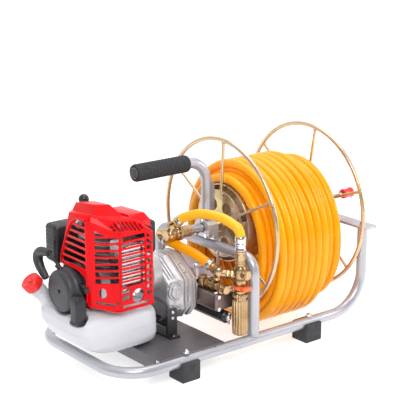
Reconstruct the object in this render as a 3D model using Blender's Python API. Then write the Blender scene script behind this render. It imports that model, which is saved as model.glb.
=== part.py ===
# Portable motor sprayer set: a small two-stroke engine drives a brass-headed
# plunger pump on a bent-tube skid frame, with a hose reel behind them.
# Metres, +Z up.  The floor is z = 0, the reel axle runs along +X at y = 0,
# the engine is at the -X end and the reel at the +X end.
import math
import bpy
import bmesh
import numpy as np
from mathutils import Vector, Matrix

for ob in list(bpy.data.objects):
    bpy.data.objects.remove(ob, do_unlink=True)

# ---------------------------------------------------------------- dimensions
OX = -0.08346            # shift that puts the origin at the middle of the footprint
GAP = 0.0003            # clearance between touching pieces

TUBE_R = 0.0095         # frame tube, 19 mm outside
RAIL_Y = 0.1317         # side rails
RAIL_Z = 0.0334
FRONT_X = -0.1800       # front end of the rail loop
FRONT_BEND = 0.0618
POST_X = 0.3516         # rear posts
POST_BEND = 0.0700
POST_TOP = 0.1845
MID_X = 0.0918          # inverted-U middle frame
MID_Z = 0.1766
AXLE_Z = 0.2034         # reel axle height
WHEEL_R = 0.1520        # reel side wheel, wire centre circle
WIRE_R = 0.0038
SPOKE_R = 0.0028
WHEEL_X = (0.1251, 0.3306)
SPOKE_0 = (3.5, 9.5)    # first spoke, degrees from +Z towards -Y
DRUM_R = 0.0705
HUB_R = 0.0610
AXLE_R = 0.0080
COIL_X = (0.1525, 0.2880)   # outermost hose layer
HOSE_R = 0.00875
CRANK_Z = 0.1510        # engine crank axis
PUMP_Z = 0.1080         # pump shaft axis
GRIP_Z = 0.3240         # carrying handle
HANDLE_X = 0.0940
TEETH = (10, 30)
GEAR_M = 2 * (CRANK_Z - PUMP_Z) / (TEETH[0] + TEETH[1])

# ---------------------------------------------------------------- materials
def mat(name, col, rough, metal=0.0, alpha=1.0):
    m = bpy.data.materials.new(name)
    m.use_nodes = True
    b = m.node_tree.nodes["Principled BSDF"]
    b.inputs["Base Color"].default_value = (*col, 1)
    b.inputs["Roughness"].default_value = rough
    b.inputs["Metallic"].default_value = metal
    b.inputs["Alpha"].default_value = alpha
    return m

SILVER = ("silver_paint", (0.62, 0.62, 0.65), 0.35, 0.6)
BLACKR = ("black_rubber", (0.03, 0.03, 0.032), 0.75)
BLACKP = ("black_plastic", (0.035, 0.035, 0.04), 0.5)
BLACKS = ("black_paint", (0.03, 0.03, 0.03), 0.45)
RED = ("red_plastic", (0.80, 0.01, 0.02), 0.25)
WHITE = ("white_tank", (0.85, 0.85, 0.87), 0.35)
ZINC = ("yellow_zinc", (0.62, 0.50, 0.33), 0.32, 0.9)
BRASS = ("brass", (0.72, 0.55, 0.28), 0.3, 0.95)
ALU = ("cast_aluminium", (0.60, 0.60, 0.62), 0.45, 0.85)
STEEL = ("bright_steel", (0.65, 0.65, 0.66), 0.3, 0.95)
HOSE = ("hose_yellow", (1.0, 0.50, 0.01), 0.3)
ORANGE = ("orange_grip", (0.85, 0.15, 0.03), 0.4)
GREYP = ("grey_plate", (0.22, 0.21, 0.23), 0.45, 0.5)

def put(name, bm, m, smooth=35):
    bmesh.ops.remove_doubles(bm, verts=bm.verts, dist=1e-6)
    bmesh.ops.recalc_face_normals(bm, faces=bm.faces)
    me = bpy.data.meshes.new(name)
    bm.to_mesh(me)
    bm.free()
    ob = bpy.data.objects.new(name, me)
    bpy.context.scene.collection.objects.link(ob)
    me.materials.append(mat(name + "_" + m[0], *m[1:]))
    me.shade_smooth()
    me.set_sharp_from_angle(angle=math.radians(smooth))
    return ob

def frame_of(axis):
    a = Vector(axis).normalized()
    h = Vector((0, 0, 1)) if abs(a.z) < 0.9 else Vector((1, 0, 0))
    u = a.cross(h).normalized()
    return a, u, a.cross(u).normalized()

# turned solid: profile is a list of (radius, distance along axis); a closed
# ring profile when ring=True, otherwise it starts and ends on the axis
def lathe(bm, prof, pos, axis, seg=24, ring=False, phase=0.0):
    a, u, v = frame_of(axis)
    pos = Vector(pos)
    rows = []
    for r, h in prof:
        if r < 1e-7:
            rows.append([bm.verts.new(pos + a * h)])
        else:
            rows.append([bm.verts.new(pos + a * h + (u * math.cos(t) + v * math.sin(t)) * r)
                         for t in (2 * math.pi * (k + phase) / seg for k in range(seg))])
    n = len(rows)
    for i in range(n if ring else n - 1):
        p, q = rows[i], rows[(i + 1) % n]
        for k in range(seg):
            j = (k + 1) % seg
            if len(p) == 1 and len(q) == 1:
                continue
            if len(p) == 1:
                bm.faces.new((p[0], q[k], q[j]))
            elif len(q) == 1:
                bm.faces.new((p[k], q[0], p[j]))
            else:
                bm.faces.new((p[k], q[k], q[j], p[j]))
    return bm

def rod(bm, p0, p1, r, seg=16, phase=0.0):
    p0, p1 = Vector(p0), Vector(p1)
    d = (p1 - p0).length
    return lathe(bm, [(0, 0), (r, 0), (r, d), (0, d)], p0, p1 - p0, seg, phase=phase)

def pipe(bm, p0, p1, r, ri, seg=24):
    p0, p1 = Vector(p0), Vector(p1)
    d = (p1 - p0).length
    return lathe(bm, [(ri, 0), (r, 0), (r, d), (ri, d)], p0, p1 - p0, seg, ring=True)

def block(bm, lo, hi, bevel=0.0, seg=1):
    lo, hi = Vector(lo), Vector(hi)
    c = (lo + hi) / 2
    s = hi - lo
    r = bmesh.ops.create_cube(bm, size=1, matrix=Matrix.Translation(c) @ Matrix.Diagonal((*s, 1)))
    if bevel:
        es = list({e for v in r["verts"] for e in v.link_edges})
        bmesh.ops.bevel(bm, geom=es, offset=bevel, segments=seg, profile=0.5, affect="EDGES")
    return bm

# prism: polygon in a plane, swept along an axis; org + a*u + b*v, thickness t along w
def prism(bm, poly, org, u, v, t):
    org, u, v = Vector(org), Vector(u).normalized(), Vector(v).normalized()
    w = u.cross(v)
    a = [bm.verts.new(org + u * p[0] + v * p[1]) for p in poly]
    b = [bm.verts.new(org + u * p[0] + v * p[1] + w * t) for p in poly]
    n = len(poly)
    bm.faces.new(a[::-1])
    bm.faces.new(b)
    for i in range(n):
        j = (i + 1) % n
        bm.faces.new((a[i], a[j], b[j], b[i]))
    return bm

def fillet(pts, rad, n=5):
    pts = [Vector(p) for p in pts]
    out = [pts[0]]
    for i in range(1, len(pts) - 1):
        p, a, b = pts[i], (pts[i - 1] - pts[i]).normalized(), (pts[i + 1] - pts[i]).normalized()
        r = rad[i - 1] if isinstance(rad, (list, tuple)) else rad
        ang = a.angle(b)
        d = r / math.tan(ang / 2)
        c = p + (a + b).normalized() * (r / math.sin(ang / 2))
        s, e = p + a * d - c, p + b * d - c
        ax = s.cross(e).normalized()
        tot = s.angle(e)
        for k in range(n + 1):
            out.append(c + Matrix.Rotation(tot * k / n, 3, ax) @ s)
    out.append(pts[-1])
    return out

def sweep(bm, pts, r, seg=12, r_in=None, closed=False):
    pts = [Vector(p) for p in pts]
    n = len(pts)
    tang = []
    for i in range(n):
        if closed:
            d = pts[(i + 1) % n] - pts[i - 1]
        else:
            d = pts[min(i + 1, n - 1)] - pts[max(i - 1, 0)]
            if 0 < i < n - 1:
                d = (pts[i + 1] - pts[i]).normalized() + (pts[i] - pts[i - 1]).normalized()
        tang.append(d.normalized())
    _, u, v = frame_of(tang[0])
    rows = []
    prev = tang[0]
    for i in range(n):
        if i:
            q = prev.rotation_difference(tang[i])
            u = q @ u
            prev = tang[i]
        u = (u - tang[i] * u.dot(tang[i])).normalized()
        v = tang[i].cross(u)
        rr = r[i] if isinstance(r, (list, tuple)) else r
        rows.append([bm.verts.new(pts[i] + (u * math.cos(2 * math.pi * k / seg) + v * math.sin(2 * math.pi * k / seg)) * rr)
                     for k in range(seg)])
    for i in range(n if closed else n - 1):
        p, q = rows[i], rows[(i + 1) % n]
        for k in range(seg):
            j = (k + 1) % seg
            bm.faces.new((p[k], p[j], q[j], q[k]))
    if not closed:
        bm.faces.new(rows[0][::-1])
        bm.faces.new(rows[-1])
    return bm

def boolean(ob, cutter_bm, op="DIFFERENCE"):
    bmesh.ops.recalc_face_normals(cutter_bm, faces=cutter_bm.faces)
    me = bpy.data.meshes.new("cutter")
    cutter_bm.to_mesh(me)
    cutter_bm.free()
    c = bpy.data.objects.new("cutter", me)
    bpy.context.scene.collection.objects.link(c)
    m = ob.modifiers.new("b", "BOOLEAN")
    m.operation = op
    m.object = c
    dg = bpy.context.evaluated_depsgraph_get()
    dg.update()
    new = bpy.data.meshes.new_from_object(ob.evaluated_get(dg))
    ob.modifiers.clear()
    old = ob.data
    ob.data = new
    bpy.data.meshes.remove(old)
    bpy.data.objects.remove(c, do_unlink=True)
    b = bmesh.new()
    b.from_mesh(ob.data)
    bmesh.ops.remove_doubles(b, verts=b.verts, dist=2e-6)
    bmesh.ops.dissolve_degenerate(b, edges=b.edges, dist=1e-6)
    b.to_mesh(ob.data)
    b.free()
    ob.data.shade_smooth()
    ob.data.set_sharp_from_angle(angle=math.radians(35))
    return ob

def union(ob, *makers):
    for f in makers:
        b = bmesh.new()
        f(b)
        boolean(ob, b, "UNION")
    return ob

def cut(ob, *makers):
    b = bmesh.new()
    for f in makers:
        f(b)
    return boolean(ob, b, "DIFFERENCE")

def new(name, m, *makers, smooth=35):
    b = bmesh.new()
    makers[0](b)
    ob = put(name, b, m, smooth)
    union(ob, *makers[1:])
    return ob

def P(x, y, z):
    return Vector((x + OX, y, z))

def arc(cy, cz, r, a0, a1, n):
    return [(cy + r * math.cos(math.radians(a0 + (a1 - a0) * k / n)),
             cz + r * math.sin(math.radians(a0 + (a1 - a0) * k / n))) for k in range(n + 1)]

YZ = ((0, 1, 0), (0, 0, 1))      # prism plane whose thickness runs along +X
XY = ((1, 0, 0), (0, 1, 0))      # thickness along +Z
XZ = ((1, 0, 0), (0, 0, 1))      # thickness along -Y

# ---------------------------------------------------------------- skid frame
loop = fillet([P(POST_X, -RAIL_Y, POST_TOP), P(POST_X, -RAIL_Y, RAIL_Z), P(FRONT_X, -RAIL_Y, RAIL_Z),
               P(FRONT_X, RAIL_Y, RAIL_Z), P(POST_X, RAIL_Y, RAIL_Z), P(POST_X, RAIL_Y, POST_TOP)],
              [POST_BEND, FRONT_BEND, FRONT_BEND, POST_BEND], 5)
new("base_frame", SILVER, lambda b: sweep(b, loop, TUBE_R, 12))

foot_z = RAIL_Z + TUBE_R + GAP
mid = fillet([P(MID_X, -RAIL_Y, foot_z), P(MID_X, -RAIL_Y, MID_Z), P(MID_X, RAIL_Y, MID_Z), P(MID_X, RAIL_Y, foot_z)], 0.026, 4)
new("mid_frame", SILVER, lambda b: sweep(b, mid, TUBE_R, 12))

# flat bar over the rear posts, its ends turned down a little
new("rear_bar", SILVER,
    lambda b: block(b, P(POST_X - 0.015, -0.1530, POST_TOP + GAP), P(POST_X + 0.015, 0.1530, POST_TOP + GAP + 0.0055), 0.0012),
    )

PLATE_Z = RAIL_Z + TUBE_R + GAP
new("engine_plate", GREYP,
    lambda b: block(b, P(-0.1082, -0.1335, PLATE_Z), P(0.0260, 0.1335, PLATE_Z + 0.0023)),
    lambda b: block(b, P(-0.1082, -0.1180, 0.0225), P(-0.1060, 0.1180, PLATE_Z + 0.0010)))

FEET = {"foot_front_near": (-0.0545, -1), "foot_front_far": (-0.0545, 1), "foot_rear_near": (0.2219, -1), "foot_rear_far": (0.2219, 1)}
for name, (x, s) in FEET.items():
    y0, y1 = sorted((s * 0.1080, s * 0.1470))
    ob = new(name, BLACKR, lambda b: block(b, P(x - 0.0190, y0, 0), P(x + 0.0190, y1, 0.0345), 0.0020))
    cut(ob, lambda b: rod(b, P(x - 0.05, s * RAIL_Y, RAIL_Z), P(x + 0.05, s * RAIL_Y, RAIL_Z), TUBE_R + GAP, 20, 0.5))
    zb = foot_z if x > 0 else PLATE_Z + 0.0023 + GAP
    new(name.replace("foot", "foot_bolt"), STEEL,
        lambda b: lathe(b, [(0, 0), (0.0062, 0), (0.0062, 0.0012), (0.0050, 0.0015), (0.0050, 0.0050), (0.0036, 0.0060), (0, 0.0060)],
                        P(x, s * RAIL_Y, zb), (0, 0, 1), 10))

# ---------------------------------------------------------------- carrying handle
hpts = fillet([P(HANDLE_X, 0, 0.2230), P(HANDLE_X, 0, GRIP_Z), P(-0.0610, 0, GRIP_Z)], 0.040, 6)
new("handle_tube", SILVER, lambda b: sweep(b, hpts, TUBE_R, 12),
    lambda b: block(b, P(HANDLE_X - 0.0105, -0.0130, 0.2212), P(HANDLE_X + 0.0120, 0.0130, 0.2252)),
    lambda b: block(b, P(HANDLE_X + 0.0060, -0.0030, 0.2242), P(HANDLE_X + 0.0170, 0.0030, 0.2840)))
n_rib = 7
gp = [(TUBE_R + GAP, 0.0)]
for k in range(n_rib):
    h0 = 0.110 * k / n_rib
    h1 = 0.110 * (k + 1) / n_rib
    gp += [(0.0138, h0 + 0.0004), (0.0150, h0 + 0.002), (0.0150, h1 - 0.002)]
gp += [(0.0138, 0.1096), (TUBE_R + GAP, 0.110)]
new("handle_grip", BLACKR, lambda b: lathe(b, gp, P(0.0500, 0, GRIP_Z), (-1, 0, 0), 14, ring=True))

# ---------------------------------------------------------------- reel bearings and axle
arch = [(-0.0200, 0.0)] + [(0.0200 * -math.cos(math.pi * k / 8), 0.0178 + 0.0165 * math.sin(math.pi * k / 8)) for k in range(9)] + [(0.0200, 0.0)]
ob = new("front_bearing", SILVER,
         lambda b: prism(b, [(p[0], p[1]) for p in arch[::-1]][::-1], P(MID_X - 0.0085, 0, MID_Z + TUBE_R + GAP), *YZ, 0.0230))
cut(ob, lambda b: rod(b, P(0.05, 0, AXLE_Z), P(0.15, 0, AXLE_Z), AXLE_R + 0.0005, 24, 0.5))
ob = new("rear_bearing", SILVER,
         lambda b: prism(b, [(-0.0200, 0), (0.0200, 0)] + arc(0, AXLE_Z - POST_TOP - 0.0055 - 2 * GAP, 0.0160, 0, 180, 8),
                         P(POST_X - 0.0080, 0, POST_TOP + 0.0055 + 2 * GAP), *YZ, 0.0160))
cut(ob, lambda b: rod(b, P(0.32, 0, AXLE_Z), P(0.38, 0, AXLE_Z), AXLE_R + 0.0005, 24, 0.5))
ob = new("reel_axle", STEEL, lambda b: pipe(b, P(0.0460, 0, AXLE_Z), P(0.3740, 0, AXLE_Z), AXLE_R, 0.0050, 16))

# ---------------------------------------------------------------- reel
for i, tag in enumerate(("front", "rear")):
    x = WHEEL_X[i]
    ring = [P(x, -WHEEL_R * math.sin(2 * math.pi * k / 40), AXLE_Z + WHEEL_R * math.cos(2 * math.pi * k / 40)) for k in range(40)]
    new("wheel_rim_" + tag, ZINC, lambda b: sweep(b, ring, WIRE_R, 6, closed=True))
    ob = new("wheel_hub_" + tag, ZINC,
             lambda b: lathe(b, [(AXLE_R + 0.0004, -0.0055), (0.0150, -0.0055), (0.0150, -0.0016), (HUB_R, -0.0016), (HUB_R, 0.0016), (AXLE_R + 0.0004, 0.0016)],
                             P(x, 0, AXLE_Z), (1, 0, 0) if i == 0 else (-1, 0, 0), 24, ring=True))
    for k in range(6):
        a = math.radians(SPOKE_0[i] + 60 * k)
        d = Vector((0, -math.sin(a), math.cos(a)))
        c = P(x, 0, AXLE_Z)
        union(ob, lambda b: rod(b, c + d * (HUB_R - 0.012) , c + d * (WHEEL_R - WIRE_R - GAP), SPOKE_R, 6, 0.5))
    holes = []
    for k in range(6):
        a = math.radians(SPOKE_0[i] + 30 + 60 * k)
        c = P(x, -math.sin(a) * 0.037, AXLE_Z + math.cos(a) * 0.037)
        holes.append(lambda b, c=c: rod(b, c - Vector((0.01, 0, 0)), c + Vector((0.01, 0, 0)), 0.0125, 8))
    cut(ob, *holes)

new("reel_drum", ZINC, lambda b: pipe(b, P(WHEEL_X[0] + 0.0062, 0, AXLE_Z), P(WHEEL_X[1] - 0.0062, 0, AXLE_Z), DRUM_R, DRUM_R - 0.0020, 28))

# wound hose: an oval ring that rests on the drum and hangs below it, with a
# rounded ridge for each turn of the outer layer
def coil_loop(t, s):
    # t runs round the loop from the +Y side; s = 0 inner surface, 1 outer surface
    c, n = math.cos(t), math.sin(t)
    ay = 0.0890 + (0.1345 - 0.0890) * s
    if n >= 0:
        az = 0.2034 + 0.0722 + (0.3115 - 0.2756) * s
        z0 = 0.1640
        return ay * c, z0 + (az - z0) * n
    e = 2.3
    az = 0.0640 + (0.0125 - 0.0640) * s
    z0 = 0.1640
    return ay * math.copysign(abs(c) ** (2 / e), c), z0 - (z0 - az) * abs(n) ** (2 / e)

def coil(b):
    prof = [(WHEEL_X[0] + 0.0060, 0.05)]
    prof += [(WHEEL_X[0] + 0.0060, 0.42), (WHEEL_X[0] + 0.0080, 0.62), (COIL_X[0] - 0.0020, 0.90)]
    n = 8
    w = (COIL_X[1] - COIL_X[0]) / n
    for k in range(n):
        a = COIL_X[0] + k * w
        prof += [(a, 0.90), (a + w * 0.28, 0.99), (a + w * 0.72, 0.99)]
    prof += [(COIL_X[1], 0.90), (WHEEL_X[1] - 0.0080, 0.62), (WHEEL_X[1] - 0.0060, 0.42), (WHEEL_X[1] - 0.0060, 0.05)]
    m = 26
    rows = []
    for k in range(m):
        t = 2 * math.pi * (k + 0.5) / m
        rows.append([b.verts.new(P(x, *coil_loop(t, s))) for x, s in prof])
    q = len(prof)
    for k in range(m):
        r0, r1 = rows[k], rows[(k + 1) % m]
        for i in range(q):
            j = (i + 1) % q
            b.faces.new((r0[i], r0[j], r1[j], r1[i]))
new("hose_coil", HOSE, coil)

# winding crank: arm on the axle's far end, knob turning on its pin
KNOB_Y, KNOB_Z = -0.0480, AXLE_Z + 0.0200
KV = (P(0.3775, KNOB_Y, KNOB_Z) - P(0.3775, 0, AXLE_Z)).normalized()
new("crank_arm", ZINC,
    lambda b: lathe(b, [(0, 0), (0.0120, 0), (0.0120, 0.0062), (0, 0.0062)], P(0.3744, 0, AXLE_Z), (1, 0, 0), 14),
    lambda b: sweep(b, [P(0.3777, 0, AXLE_Z) + KV * 0.0021, P(0.3777, KNOB_Y, KNOB_Z) + KV * 0.0063], 0.0037, 8),
    lambda b: lathe(b, [(0, 0), (0.0031, 0), (0.0031, 0.0331), (0.0050, 0.0331), (0.0050, 0.0373), (0, 0.0373)], P(0.3732, KNOB_Y, KNOB_Z), (1, 0, 0), 10, phase=0.37))
ob = new("crank_knob", RED,
         lambda b: lathe(b, [(0.0033, 0.0015), (0.0085, 0.0015), (0.0098, 0.006), (0.0088, 0.014), (0.0102, 0.020), (0.0085, 0.0240), (0.0033, 0.0245)],
                         P(0.3815, KNOB_Y, KNOB_Z), (1, 0, 0), 14, ring=True))

# ---------------------------------------------------------------- fuel tank
def tank(b):
    zs = [(0.0495, 0.012, 0.030), (0.0540, 0.004, 0.020), (0.0640, 0.0, 0.012), (0.0900, 0.0, 0.002), (0.1060, 0.001, 0.0), (0.1140, 0.007, 0.0), (0.1200, 0.018, 0.002), (0.1252, 0.032, 0.004)]
    rows = []
    for z, ins, back in zs:
        x0, x1, y0, y1, r = -0.2180 + back * 1.4 + ins, -0.0560 - ins, -0.0745 + ins, 0.0790 - ins, 0.022
        if z > 0.1:
            x1 -= (z - 0.1) * 0.4
        pts = []
        for cx, cy, a0 in ((x1 - r, y1 - r, 0), (x0 + r, y1 - r, 90), (x0 + r, y0 + r, 180), (x1 - r, y0 + r, 270)):
            for k in range(4):
                a = math.radians(a0 + 30 * k)
                pts.append((cx + r * math.cos(a), cy + r * math.sin(a)))
        rows.append([b.verts.new(P(x, y, z)) for x, y in pts])
    n = len(rows[0])
    for i in range(len(rows) - 1):
        for k in range(n):
            j = (k + 1) % n
            b.faces.new((rows[i][k], rows[i][j], rows[i + 1][j], rows[i + 1][k]))
    b.faces.new(rows[0][::-1])
    b.faces.new(rows[-1])
NECK = Vector((-0.62, 0.10, 0.78)).normalized()
NECK_P = P(-0.1960, 0.0570, 0.1140)
CAP_P = NECK_P + NECK * 0.0400
ob = new("fuel_tank", WHITE, tank, lambda b: rod(b, NECK_P - NECK * 0.02, CAP_P, 0.0130, 16))
# moulded hollows that clear the starter and its leg
cut(ob, lambda b: lathe(b, [(0, 0), (0.0400, 0), (0.0400, 0.0420), (0.0360, 0.0560), (0.0320, 0.0860), (0, 0.0860)], P(-0.2350, 0, CRANK_Z), (1, 0, 0), 24, phase=0.5))
cut(ob, lambda b: rod(b, P(-0.2055, -0.0450, 0.1050), P(-0.2055, -0.0450, 0.1500), 0.0150, 16, 0.5))
cut(ob, lambda b: block(b, P(-0.2090, -0.0440, 0.1175), P(-0.1955, -0.0280, 0.1600)))
new("fuel_cap", RED, lambda b: lathe(b, [(0, 0.0003), (0.0168, 0.0003), (0.0180, 0.004), (0.0176, 0.0150), (0.0142, 0.0176), (0, 0.0176)],
                                     CAP_P, NECK, 12), smooth=20)

# ---------------------------------------------------------------- engine cover
# the cover is a faceted body with two raised humps, hollowed to a thin wall;
# it is open below, towards the pump and towards the carburettor
T = 0.0022
def hull(b, pts):
    t = bmesh.new()
    vs = [t.verts.new(P(*p)) for p in pts]
    bmesh.ops.convex_hull(t, input=vs)
    bmesh.ops.delete(t, geom=[v for v in t.verts if not v.link_faces], context="VERTS")
    bmesh.ops.dissolve_limit(t, angle_limit=math.radians(0.5), verts=t.verts[:], edges=t.edges[:])
    bmesh.ops.recalc_face_normals(t, faces=t.faces[:])
    me = bpy.data.meshes.new("hull")
    t.to_mesh(me)
    t.free()
    b.from_mesh(me)
    bpy.data.meshes.remove(me)
BODY = [(-0.1890, 0.0290, 0.1500), (-0.1890, -0.0470, 0.1345), (-0.1845, -0.0535, 0.1330), (-0.1550, -0.0772, 0.1242), (-0.1470, -0.0800, 0.1236),
        (-0.0830, -0.0800, 0.1236), (-0.0790, -0.0765, 0.1236), (-0.0790, 0.0180, 0.1236),
        (-0.1890, 0.0290, 0.1980), (-0.1890, 0.0200, 0.2240), (-0.1890, -0.0470, 0.2760), (-0.1845, -0.0535, 0.2755), (-0.1550, -0.0772, 0.2590), (-0.1470, -0.0800, 0.2570),
        (-0.0830, -0.0800, 0.2470), (-0.0790, -0.0765, 0.2455), (-0.0790, 0.0180, 0.2440),
        (-0.1870, 0.0040, 0.2790), (-0.1800, -0.0500, 0.2855), (-0.1520, -0.0640, 0.2745), (-0.1080, -0.0630, 0.2700), (-0.0850, -0.0640, 0.2560),
        (-0.0840, 0.0180, 0.2540), (-0.1700, 0.0180, 0.2780), (-0.1100, 0.0180, 0.2660)]
HUMP1 = [(-0.1760, -0.0540, 0.2800), (-0.1160, -0.0520, 0.2690), (-0.1100, 0.0180, 0.2620), (-0.1760, 0.0180, 0.2700),
         (-0.1660, -0.0400, 0.2975), (-0.1385, -0.0410, 0.2935), (-0.1330, 0.0150, 0.2870), (-0.1660, 0.0150, 0.2900)]
HUMP2 = [(-0.1090, -0.0640, 0.2600), (-0.0715, -0.0625, 0.2480), (-0.0700, 0.0180, 0.2460), (-0.1090, 0.0180, 0.2500),
         (-0.0700, -0.0560, 0.2610), (-0.0700, 0.0180, 0.2580),
         (-0.1090, -0.0500, 0.2730), (-0.0770, -0.0500, 0.2715), (-0.0760, 0.0150, 0.2680), (-0.1090, 0.0150, 0.2690)]
def inside(pts, mid, zdrop, zlow, open_x):
    # the same body one wall thickness further in, running out below and on the far side
    out = []
    for x, y, z in pts:
        low = z < zlow
        xi = x + T if x < mid else (x + 0.0200 if open_x and x > -0.081 else x - T)
        yi = 0.0400 if y > 0.012 else (y + T if y < -0.045 else y)
        out.append((xi, yi, z - zdrop if low else z - T * 1.1))
    return out
ob = new("engine_shroud", RED, lambda b: hull(b, BODY), lambda b: hull(b, HUMP1), lambda b: hull(b, HUMP2))
cut(ob, lambda b: hull(b, inside(BODY, -0.13, 0.0250, 0.20, True)))
cut(ob, lambda b: hull(b, inside(HUMP1, -0.145, 0.0140, 0.2810, False)))
cut(ob, lambda b: hull(b, inside(HUMP2, -0.095, 0.0120, 0.2605, False)))
# opening over the starter, and the raised lower edge of the end face
cut(ob, lambda b: prism(b, [(0.05, 0.10), (-0.0470, 0.10), (-0.0470, 0.1770), (-0.0400, 0.1830), (-0.0300, 0.1870), (-0.0180, 0.1895), (0.05, 0.1895)],
                        P(-0.20, 0, 0), *YZ, 0.0260))
# cooling slots: end face, corner face, side face
slots = []
def slot_yz(y0, y1, z, h):
    slots.append(lambda b: prism(b, [(y0, z), (y0, z + h), (y1, z + h), (y1, z)][::-1], P(-0.20, 0, 0), *YZ, 0.0230))
for k in range(6):
    z = 0.1960 + 0.0132 * k
    slot_yz(-0.0430, (0.0230, 0.0200, 0.0150, 0.0070, -0.0030, -0.0150)[k], z, 0.0096)
for k in range(9):                                 # side face
    z = 0.1430 + 0.01180 * k
    x1 = -0.0975 if k > 1 else -0.1265
    slots.append(lambda b, z=z, x1=x1: block(b, P(-0.1425, -0.09, z), P(x1, -0.07, z + 0.0076)))
    slots.append(lambda b, z=z: block(b, P(-0.0940, -0.09, z + 0.0005), P(-0.0860, -0.07, z + 0.0060)))
slots.append(lambda b: block(b, P(-0.1395, -0.09, 0.1285), P(-0.0950, -0.07, 0.1325)))
dcx, dcy = 0.0300, -0.0240                         # corner face runs (-0.184,-0.053) to (-0.154,-0.077)
L = math.hypot(dcx, dcy)
u = Vector((dcx / L, dcy / L, 0))
w = Vector((u.y, -u.x, 0)) * -1
for k in range(8):
    z = 0.1640 + 0.0118 * k
    c = P(-0.1690, -0.0650, z)
    slots.append(lambda b, c=c: prism(b, [(-0.0125, 0), (0.0175, 0), (0.0175, 0.0076), (-0.0125, 0.0076)], c + Vector((-0.010, -0.0125, 0)), u, (0, 0, 1), -0.026))
c0 = P(-0.1690, -0.0650, 0.1290)
slots.append(lambda b: prism(b, [(-0.0130, 0), (0.0155, 0), (0.0155, 0.0040), (-0.0130, 0.0040)], c0 + Vector((-0.010, -0.0125, 0)), u, (0, 0, 1), -0.026))
for f in slots:
    cut(ob, f)
cut(ob, lambda b: rod(b, P(-0.1120, -0.095, 0.1420), P(-0.1120, -0.06, 0.1420), 0.0110, 14))

# ---------------------------------------------------------------- engine inside
CX = -0.1180
fins = [(0, 0.0), (0.0200, 0.0)]
for k in range(6):
    z = 0.004 + 0.0104 * k
    fins += [(0.0200, z), (0.0330, z), (0.0330, z + 0.0036), (0.0200, z + 0.0036)]
fins += [(0.0200, 0.0680), (0.0120, 0.0720), (0, 0.0720)]
new("cylinder", ALU, lambda b: lathe(b, fins, P(CX, 0, 0.1790), (0, 0, 1), 16))
CASE = [(-0.024, 0.1255), (0.024, 0.1255), (0.029, 0.1310), (0.029, 0.1720), (0.0220, 0.1787), (-0.0220, 0.1787), (-0.029, 0.1720), (-0.029, 0.1310)]
ob = new("crankcase", ALU, lambda b: prism(b, CASE, P(-0.1500, 0, 0), *YZ, 0.0990))
cut(ob, lambda b: rod(b, P(-0.17, 0, CRANK_Z), P(-0.04, 0, CRANK_Z), 0.0064, 16, 0.5))
new("muffler", STEEL, lambda b: block(b, P(-0.1420, -0.0730, 0.1500), P(-0.0900, -0.0400, 0.2350), 0.0040, 1),
    lambda b: rod(b, P(-0.1120, -0.0770, 0.1420 + 0.012), P(-0.1120, -0.0700, 0.1420 + 0.012), 0.0065, 12),
    lambda b: rod(b, P(CX, -0.0405, 0.2100), P(CX, -0.0334, 0.2100), 0.0090, 12))
new("plug_cap", BLACKP, lambda b: lathe(b, [(0, 0), (0.0055, 0), (0.0055, 0.004), (0.0080, 0.006), (0.0080, 0.0110), (0, 0.0132)], P(CX, 0, 0.2513), (0, 0, 1), 10))
new("crankshaft", STEEL, lambda b: lathe(b, [(0, 0), (0.0060, 0), (0.0060, 0.1985), (0.0043, 0.1985), (0.0043, 0.2115), (0, 0.2115)], P(-0.1930, 0, CRANK_Z), (1, 0, 0), 14))
hub = new("flywheel", ALU, lambda b: lathe(b, [(0.0063, 0), (0.0340, 0), (0.0340, 0.0040), (0.0120, 0.0040), (0.0120, 0.0140), (0.0063, 0.0140)], P(-0.0480, 0, CRANK_Z), (1, 0, 0), 20, ring=True))
for k in range(6):
    a = math.radians(60 * k + 10)
    d = Vector((0, math.cos(a), math.sin(a)))
    e = Vector((0, -math.sin(a), math.cos(a)))
    union(hub, lambda b: prism(b, [(0.0110, -0.0009), (0.0325, -0.0009), (0.0325, 0.0009), (0.0110, 0.0009)], P(-0.0460, 0, CRANK_Z), d, e, 0.0120))
# eight-sided castings of the clutch housing and the gear case
OCT = [(-0.0430, 0.0690), (0.0330, 0.0690), (0.0500, 0.0880), (0.0500, 0.1460), (0.0180, 0.1738), (-0.0110, 0.1738), (-0.0575, 0.1400), (-0.0575, 0.0875)]
OCT_OUT = [(-0.0425, 0.0700), (0.0325, 0.0700), (0.0490, 0.0885), (0.0490, 0.1455), (0.0176, 0.1728), (-0.0107, 0.1728), (-0.0565, 0.1395), (-0.0565, 0.0880)]
OCT_IN = [(-0.0410, 0.0735), (0.0310, 0.0735), (0.0455, 0.0900), (0.0455, 0.1440), (0.0160, 0.1693), (-0.0095, 0.1693), (-0.0530, 0.1375), (-0.0530, 0.0895)]
ob = new("fan_housing", ALU, lambda b: lathe(b, [(0.0370, 0), (0.0395, 0), (0.0395, 0.0186), (0.0370, 0.0186)], P(-0.0500, 0, CRANK_Z), (1, 0, 0), 26, ring=True),
         lambda b: prism(b, OCT_OUT, P(-0.0320, 0, 0), *YZ, 0.0342))
cut(ob, lambda b: prism(b, OCT_IN, P(-0.0285, 0, 0), *YZ, 0.0272))
cut(ob, lambda b: rod(b, P(-0.04, 0, CRANK_Z), P(0.01, 0, CRANK_Z), 0.0080, 18, 0.5))

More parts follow.
